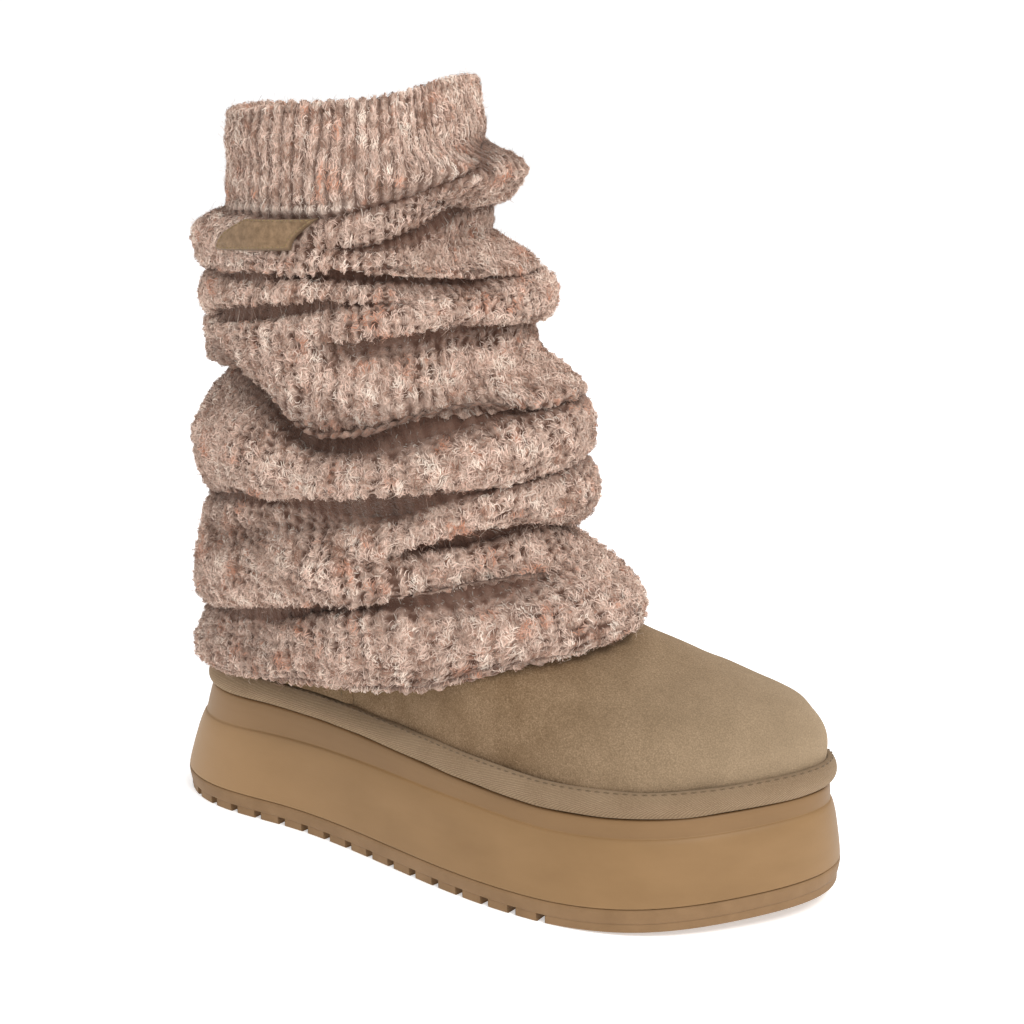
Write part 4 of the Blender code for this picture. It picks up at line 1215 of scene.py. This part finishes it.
def knit_rows(bearings):
    """The knit's outer face: rows up every roll, from the hem to the rim.

    Returns the rows, each row's roll, and how near it lies to a crease from 0 to 1.
    """
    fine = np.linspace(-180, 180, 1441)
    heights, depths = crease_lines(fine)
    rows = []
    rolls = []
    last = len(CREASES) - 2
    for roll in range(last + 1):
        height, rise = heights[roll], heights[roll + 1] - heights[roll]
        depth, deeper = depths[roll], depths[roll + 1] - depths[roll]
        length = rise.mean() * SHAFT_HEIGHT + (2 * depth + deeper).mean()
        straight = np.linspace(0, 1, max(int(length / KNIT_ROW), 8) + 1)
        curved = (1 - np.cos(straight * math.pi)) / 2
        steps = straight + (curved - straight) * ROLL_ROUNDING
        for step in steps if roll == last else steps[:-1]:
            leant = step ** (ROLL_LEAN if roll < last else 1.0)
            fullness = 1 - 2 * leant
            nearest = depth + deeper * eased((leant - 0.35) / 0.3)
            recess = nearest * (1 - math.sqrt(max(1 - fullness**2, 0)))
            row = shaft_point(fine, height + rise * step, recess)
            row[:, 2] -= FOLD_SAG * np.clip(depth + deeper * step - recess, 0, None)
            folded = abs(fullness) ** 6 * eased(nearest / DARK_CREASE)
            rows.append(straightened(np.column_stack((row, folded)), bearings))
            rolls.append(roll)
    rows = np.array(rows)
    return rows[:, :, :3], np.array(rolls), rows[:, :, 3]


def edge_rows(row, way, thickness, drop, back=0.0, count=8):
    """Rows that round an edge over to its inner side, and then run back along it."""
    inward = -at_height(outward(row[:, :2]), 0.0)
    turns = np.linspace(0, math.pi, count)[1:, None, None]
    upright = np.array((0, 0, way))
    turned = row + inward * thickness / 2 * (1 - np.cos(turns)) + upright * drop * np.sin(turns)
    if not back:
        return turned
    fall = upright * back * np.linspace(0.25, 1, 4)[:, None, None]
    return np.concatenate((turned, turned[-1] - fall))


def label_cover(bearings, heights):
    """1 under the label and 0 clear of it, for the knit's points."""
    low, top = (
        np.array([(bearing_of(shaft_point(*corner, 0.0)), corner[1]) for corner in edge])
        for edge in (LABEL_LOW, LABEL_TOP)
    )
    middle = low[:, 1].mean()
    up = (heights - middle) / (top[:, 1].mean() - middle)
    back, front = (low[i, 0] + (top[i, 0] - low[i, 0]) * up for i in (0, 1))
    across = (bearings - back) / (front - back)
    inside = np.minimum(np.minimum(across, 1 - across) * 4, np.minimum(up, 1 - up) * 3)
    return eased(inside + 0.6)


def fold_directions(grid):
    """Which way folds move the knit: square to it on the outer side, elsewhere off the axis."""
    outward_ways = unit((grid - (SHAFT_AXIS, 0, 0)) * (1, 1, 0))
    bearings = bearing_of(grid)
    square = eased((bearings + 152) / 16) * eased((-2 - bearings) / 18)
    return unit(outward_ways + (normals_of(grid) - outward_ways) * square[:, :, None])


def stitch_relief(grid, cuff):
    """The stitches' relief over the knit in metres, and a crest value from 0 to 1, low between the
    stitches, where it sets the painted shade.
    """
    columns = grid.shape[1]
    ribs = np.where(cuff > 0.5, RIBS, BODY_RIBS)
    wander = ripple(grid, 0.022, 51) * 0.18 + ripple(grid, 0.007, 52) * 0.18
    phase = np.arange(columns) / columns * ribs + wander * (1 - 0.7 * cuff)
    ridge = 0.5 - 0.5 * np.cos(2 * math.pi * phase)
    slant = 0.5 * np.abs(2 * (phase % 1) - 1)
    course = travelled(grid) / COURSE_HEIGHT + slant + ripple(grid, 0.012, 53) * 0.34
    stitch = 0.5 + 0.5 * np.cos(2 * math.pi * course)
    clump = ripple(grid, 0.0046, 54) * 0.5 + ripple(grid, 0.0026, 55) * 0.35
    rib_depth = BODY_RIB_DEPTH + (CUFF_RIB_DEPTH - BODY_RIB_DEPTH) * cuff
    stitch_depth = BODY_STITCH_DEPTH + (CUFF_STITCH_DEPTH - BODY_STITCH_DEPTH) * cuff
    relief = rib_depth * (ridge - 0.5) + stitch_depth * (stitch - 0.5) * (0.4 + 0.6 * ridge)
    relief += clump * CLUMP_DEPTH * (1 - 0.6 * cuff)
    openness = 0.75 + 0.35 * ripple(grid, 0.016, 56)
    crest = 1 - openness * (1 - ridge) * (0.35 + 0.65 * (1 - stitch)) - 0.22 * (1 - stitch)
    crest += 0.34 * clump
    cuff_crest = 0.20 + ridge * 0.75 + 0.12 * stitch + 0.12 * clump
    return relief, np.clip(crest + (cuff_crest - crest) * cuff, 0, 1)


def make_knit(fleece):
    """The slouched knit, its lining and its loose fibres."""
    reach = reach_table()
    bearings = even_bearings(KNIT_COLUMNS)
    cover = COUNTER_STANDOFF + COUNTER_THICKNESS + SHAFT_CLEARANCE
    body, rolls, near = knit_rows(bearings)
    top_roll = rolls == rolls[-1]
    climb = np.linspace(0, 1, int(top_roll.sum()))[:, None]
    body[top_roll, :, 2] -= RIM_DROP * (0.8 - 0.2 * np.cos(np.radians(bearings))) * climb**2
    body = push_out(body, reach, cover + THINNEST_HEM)
    hem = edge_rows(body[0], -1, HEM_THICKNESS, HEM_THICKNESS * EDGE_DROP / 2, HEM_RETURN)
    hem = push_out(hem[::-1], reach, cover)
    rim = edge_rows(body[-1], 1, RIM_THICKNESS, RIM_THICKNESS / 2, RIM_RETURN)
    grid = np.concatenate((hem, body, rim))
    edges = (len(hem), len(rim))
    near = np.pad(near, (edges, (0, 0)))
    rolls = np.pad(rolls, edges, mode="edge")
    in_body = np.pad(np.ones((len(body), 1)), (edges, (0, 0)))
    shares = (grid[:, :, 2] - SHAFT_BASE) / SHAFT_HEIGHT
    cuff = eased(rolls[:, None] - (len(CREASES) - 3) + 0 * shares)
    side = bearing_of(grid)
    under_label = label_cover(side, shares)
    dents = ripple(grid, DENT_SIZE, 41) * DENT_DEPTH + ripple(grid, PUCKER_SIZE, 42) * PUCKER_DEPTH
    dents = dents * (1 - near) * (0.35 + 0.65 * in_body) * (1 - 0.7 * cuff)
    folds = folded_by_hand(grid, rolls) * in_body
    # How deep each point lies in a crease or trough; it sets the painted shade there and shortens the
    # fibres.
    hollow = np.clip(near + eased(-folds / DARK_FOLD) * 0.7, 0, 1)
    over_crease = grid[:, :, 2] - grid[len(hem) + int(np.argmax(top_roll)), :, 2]
    side = eased((side + 150) / 15) * eased((-55 - side) / 15) * in_body
    groove = side * np.exp(-(((over_crease - 2.1 * CUFF_LOOPS) / LOOP_GROOVE_WIDTH) ** 2))
    folds -= LOOP_GROOVE_DEPTH * groove
    loops = side * np.exp(-(((over_crease - CUFF_LOOPS) / LOOP_WIDTH) ** 2))
    dents = (dents + folds) * (1 - under_label) - KNIT_SINK * in_body
    grid = grid + fold_directions(grid) * dents[:, :, None]
    relief, crest = stitch_relief(grid, cuff)
    relief = relief * (1 - 0.7 * near) * (1 - 0.8 * under_label)
    grid = grid + normals_of(grid) * relief[:, :, None]
    # Lower crest near creases and in hollows: painted shade there, and fewer fibres.
    crest = crest * (1 - 0.75 * near) * (1 - 0.25 * hollow)
    loops = loops * np.clip(crest * 1.6, 0, 1)
    split = len(hem) + int(np.argmax(rolls[len(hem) :] == ROLL_OVER_GREAT))
    yarn = knit_finish()
    for name, part in (("knit_low", slice(split + 1)), ("knit_high", slice(split, None))):
        piece = skin(name, grid[part])
        paint_points(piece, crest=crest[part], hollow=hollow[part], loops=loops[part])
        dress(piece, yarn, "knit_shaft")
    make_shaft_lining(fleece, reach, cover)
    add_fibres(grid, crest, cuff, hollow, loops, under_label)


def make_shaft_lining(fleece, reach, cover):
    """The sheepskin inside the knit, from just over the rim down to the hem."""
    azimuths = np.linspace(-180, 180, 200, endpoint=False)
    heights, depths = crease_lines(azimuths)
    rows = []
    for share in np.linspace(1, 0, 120):
        height = heights[0] + (heights[-1] - heights[0]) * share
        deepest = [np.interp(*lines) for lines in zip(height, heights.T, depths.T)]
        rows.append(shaft_point(azimuths, height, SHAFT_WALL + np.array(deepest)))
    top = rows[0] + (0, 0, LINING_RISE + RIM_THICKNESS / 2)
    first = edge_rows(top, 1, -RIM_THICKNESS / 2, RIM_THICKNESS / 4, count=7)[::-1]
    grid = push_out(np.concatenate((first, [top], rows[2:])), reach, cover)
    troughs = np.minimum(folded_by_hand(grid, np.full(len(grid), len(CREASES))), 0)
    inward = troughs * LINING_FOLLOWS
    inward = (inward - LINING_SINK) * eased((LINING_STILL - grid[:, :, 2]) / LINING_FADE)
    grid = grid + normals_of(grid[::-1])[::-1] * inward[:, :, None]
    curls = ripple(grid, FLEECE_CURL, 61) * LINING_DEPTH + ripple(grid, 0.0026, 62) * 0.0004
    grid = grid - normals_of(grid) * curls[:, :, None]
    dress(skin("shaft_lining", grid), fleece, "knit_shaft")


def fibre_mesh(name, centres, sides, widths, colours):
    """Flat fibres, each a pointed ribbon of four stations, in one mesh."""
    count = len(centres)
    half = sides * widths[:, None, None] / 2
    left, right = centres - half, centres + half
    order = (centres[:, 0], left[:, 1], right[:, 1], left[:, 2], right[:, 2], centres[:, 3])
    vertices = np.stack(order, axis=1)
    pattern = ((0, 2, 1), (1, 2, 4, 3), (3, 4, 5))
    starts = (np.arange(count) * 6)[:, None]
    faces = [face for group in zip(*((starts + part).tolist() for part in pattern)) for face in group]
    piece = new_piece(name, vertices.reshape(-1, 3).tolist(), faces)
    side = math.ceil(math.sqrt(count))
    cells = np.stack(np.divmod(np.arange(count), side)[::-1], axis=-1) / side
    spots = np.array(((0.5, 0.0), (0.1, 0.35), (0.9, 0.35), (0.1, 0.65), (0.9, 0.65), (0.5, 1.0)))
    add_uv(piece, "OFBake", cells[:, None] + spots[list(sum(pattern, ()))] * 0.9 / side)
    layer = piece.data.attributes.new("yarn", "FLOAT_COLOR", "POINT")
    layer.data.foreach_set("color", np.repeat(colours, 6, axis=0).astype(np.float32).ravel())
    piece.data.shade_smooth()
    return piece


def add_fibres(grid, crest, cuff, hollow, loops, under_label):
    """Loose yarn fibres that follow the knit's face, and fine hairs that stand off it."""
    rows, columns = grid.shape[:2]
    normals = normals_of(grid)
    up_steps = np.linalg.norm(np.gradient(grid, axis=0), axis=2)
    round_steps = np.linalg.norm(np.roll(grid, -1, axis=1) - grid, axis=2)
    chance = np.random.default_rng(71)
    shown = (under_label < 0.5) * (np.arange(rows) > HEM_ROWS_HIDDEN)[:, None]
    weights = up_steps * round_steps * shown * (0.06 + np.maximum(crest, loops) ** 1.6)
    weights = weights.ravel() / weights.sum()
    yarn = fibre_finish()
    laid = (FIBRES_PER_SET, FIBRE_LENGTH, FIBRE_RISE, FIBRE_WIDTH, (-0.35, 0.9, 0.9, -0.35))
    sets = [(f"yarn_fibres_{number + 1}", *laid) for number in range(FIBRE_SETS)]
    sets.append(("yarn_hairs", HAIRS, HAIR_LENGTH, HAIR_RISE, HAIR_WIDTH, (-0.1, 0.35, 0.7, 1.0)))
    for name, count, length, rise, width, bow in sets:
        picks = chance.choice(rows * columns, count, p=weights)
        row = picks // columns + chance.uniform(-0.5, 0.5, count)
        column = picks % columns + chance.uniform(-0.5, 0.5, count)
        sunk, ribbed, up, aside = (
            read_grid(values, row, column) for values in (hollow, cuff, up_steps, round_steps)
        )
        place = read_grid(grid, row, column)
        lengths = length * chance.uniform(0.55, 1.5, count) * (1 - 0.65 * sunk)
        flow = ripple(place, 0.0034, 85) * 0.9 + chance.normal(0, 0.5, count)
        bend = ripple(place, 0.0024, 86) * 0.9 + chance.normal(0, 0.8, count)
        angle = flow * np.radians(FIBRE_SPREAD + (CUFF_FIBRE_SPREAD - FIBRE_SPREAD) * ribbed)
        turns = angle[:, None] + bend[:, None] * np.linspace(-1, 1, 4)
        steps = np.stack((np.cos(turns), np.sin(turns))) * (lengths / 3)[:, None]
        climb, drift = np.cumsum(steps, axis=2) - steps[:, :, :2].sum(axis=2)[:, :, None]
        up, aside = np.maximum((up, aside), SMALLEST_STEP)[:, :, None]
        at_rows = np.clip(row[:, None] + climb / up, 0, rows - 2)
        at_columns = column[:, None] + drift / aside
        lift = unit(read_grid(normals, at_rows, at_columns))
        rises = rise * chance.uniform(0.5, 1.7, count) * (1 - 0.6 * sunk)
        centres = read_grid(grid, at_rows, at_columns)
        centres += lift * (rises[:, None] * bow)[:, :, None]
        ahead = np.gradient(centres, axis=1)
        tilt = chance.normal(0, 0.5, count)[:, None, None]
        sides = unit(np.cross(ahead, lift + tilt * np.cross(lift, ahead)))
        widths = width * chance.uniform(0.7, 1.4, count)
        at_place = [read_grid(values, row, column) for values in (crest, hollow, loops)]
        colours = fibre_colours(chance, place, *at_place)
        dress(fibre_mesh(name, centres, sides, widths, colours), yarn, "knit_shaft")


def fibre_colours(chance, places, crest, hollow, loops):
    """One colour a fibre: near ones share a tone, with rust patches, and painted shade between
    stitches and in creases.
    """
    levels = [level for level, colour in FIBRE_COLOURS]
    palette = np.array([paint(*colour) for level, colour in FIBRE_COLOURS])
    count = len(places)
    tone = ripple(places, 0.0050, 81) + 0.7 * ripple(places, 0.0022, 82)
    tone += chance.normal(0, 0.45, count)
    share = np.argsort(np.argsort(tone)) / count
    colours = np.stack([np.interp(share, levels, line) for line in palette.T], axis=-1)
    greyer = 0.33 * eased((ripple(places, 0.0120, 83) - 0.2) / 0.8)
    patchy = ripple(places, 0.0070, 84) + 0.5 * ripple(places, 0.0200, 87)
    rusty = eased((patchy - 0.75) / 0.6) * chance.uniform(0.1, 0.9, count)
    # Painted shade: darker between stitches and in creases and troughs.
    shade = (0.57 + 0.45 * np.clip(crest * 1.25, 0, 1)) * (1 - 0.60 * hollow)
    colours += (paint(*KNIT_GREIGE) - colours) * greyer[:, None]
    colours += (paint(*KNIT_RUST) - colours) * rusty[:, None]
    colours *= (shade * chance.uniform(0.90, 1.08, count))[:, None]
    colours += (palette[-1] - colours) * (0.75 * loops)[:, None]
    colours[:, 3] = 1.0
    return colours


def aimed(kind, name, place, target=(0, 0, 0.12)):
    """An object of the given data at a place, looking at the target."""
    piece = bpy.data.objects.new(name, kind)
    piece.location = place
    away = Vector(target) - Vector(place)
    piece.rotation_euler = away.to_track_quat("-Z", "Y").to_euler()
    bpy.context.scene.collection.objects.link(piece)
    return piece


def lamp(name, place, size, power, colour=(1, 1, 1)):
    """A soft square area light aimed at the boot."""
    light = bpy.data.lights.new(name, "AREA")
    light.size = size
    light.energy = power
    light.color = colour
    aimed(light, name, place)


def make_studio():
    """The photograph's camera, a wide white floor and soft daylight from the front."""
    scene = bpy.context.scene
    azimuth = math.radians(CAMERA_AZIMUTH)
    elevation = math.radians(CAMERA_ELEVATION)
    level = math.cos(elevation)
    back = Vector((math.sin(azimuth) * level, -math.cos(azimuth) * level, math.sin(elevation)))
    lens = bpy.data.cameras.new("photo_camera")
    lens.sensor_width = SENSOR_WIDTH
    lens.lens = FOCAL_PIXELS / PHOTO_PIXELS * SENSOR_WIDTH
    lens.clip_start = 0.05
    lens.clip_end = 3 * FLOOR_SPAN
    place = CAMERA_TARGET + back * CAMERA_DISTANCE
    scene.camera = aimed(lens, "photo_camera", place, CAMERA_TARGET)
    corners = [(x * FLOOR_SPAN, y * FLOOR_SPAN, 0) for x, y in ((-1, -1), (1, -1), (1, 1), (-1, 1))]
    floor = new_piece("floor", corners, [(0, 1, 2, 3)])
    paper = Finish("white_paper", 0.9, specular=0.1)
    paper.colour(paint(252, 252, 252))
    paper.connect(paper.shader, "Emission Color", (1, 1, 1, 1))
    paper.connect(paper.shader, "Emission Strength", PAPER_GLOW)
    floor.data.materials.append(paper.material)
    world = bpy.data.worlds.new("white_room")
    world.use_nodes = True
    sky = world.node_tree.nodes["Background"]
    sky.inputs["Color"].default_value = (1, 1, 1, 1)
    sky.inputs["Strength"].default_value = WORLD_STRENGTH
    scene.world = world
    lamp("key", (1.3, -0.55, 1.6), 0.8, KEY_POWER, (1.0, 0.98, 0.96))
    lamp("fill", (-1.1, -1.3, 0.9), 1.2, FILL_POWER)
    lamp("back", (-0.3, 1.3, 1.1), 1.0, BACK_POWER)
    scene.view_settings.view_transform = "Standard"


make_studio()
make_outsole()
make_midsole()
make_welt()
sheepskin = fleece_finish()
make_upper(sheepskin)
make_footbed(sheepskin)
make_knit(sheepskin)
make_label()
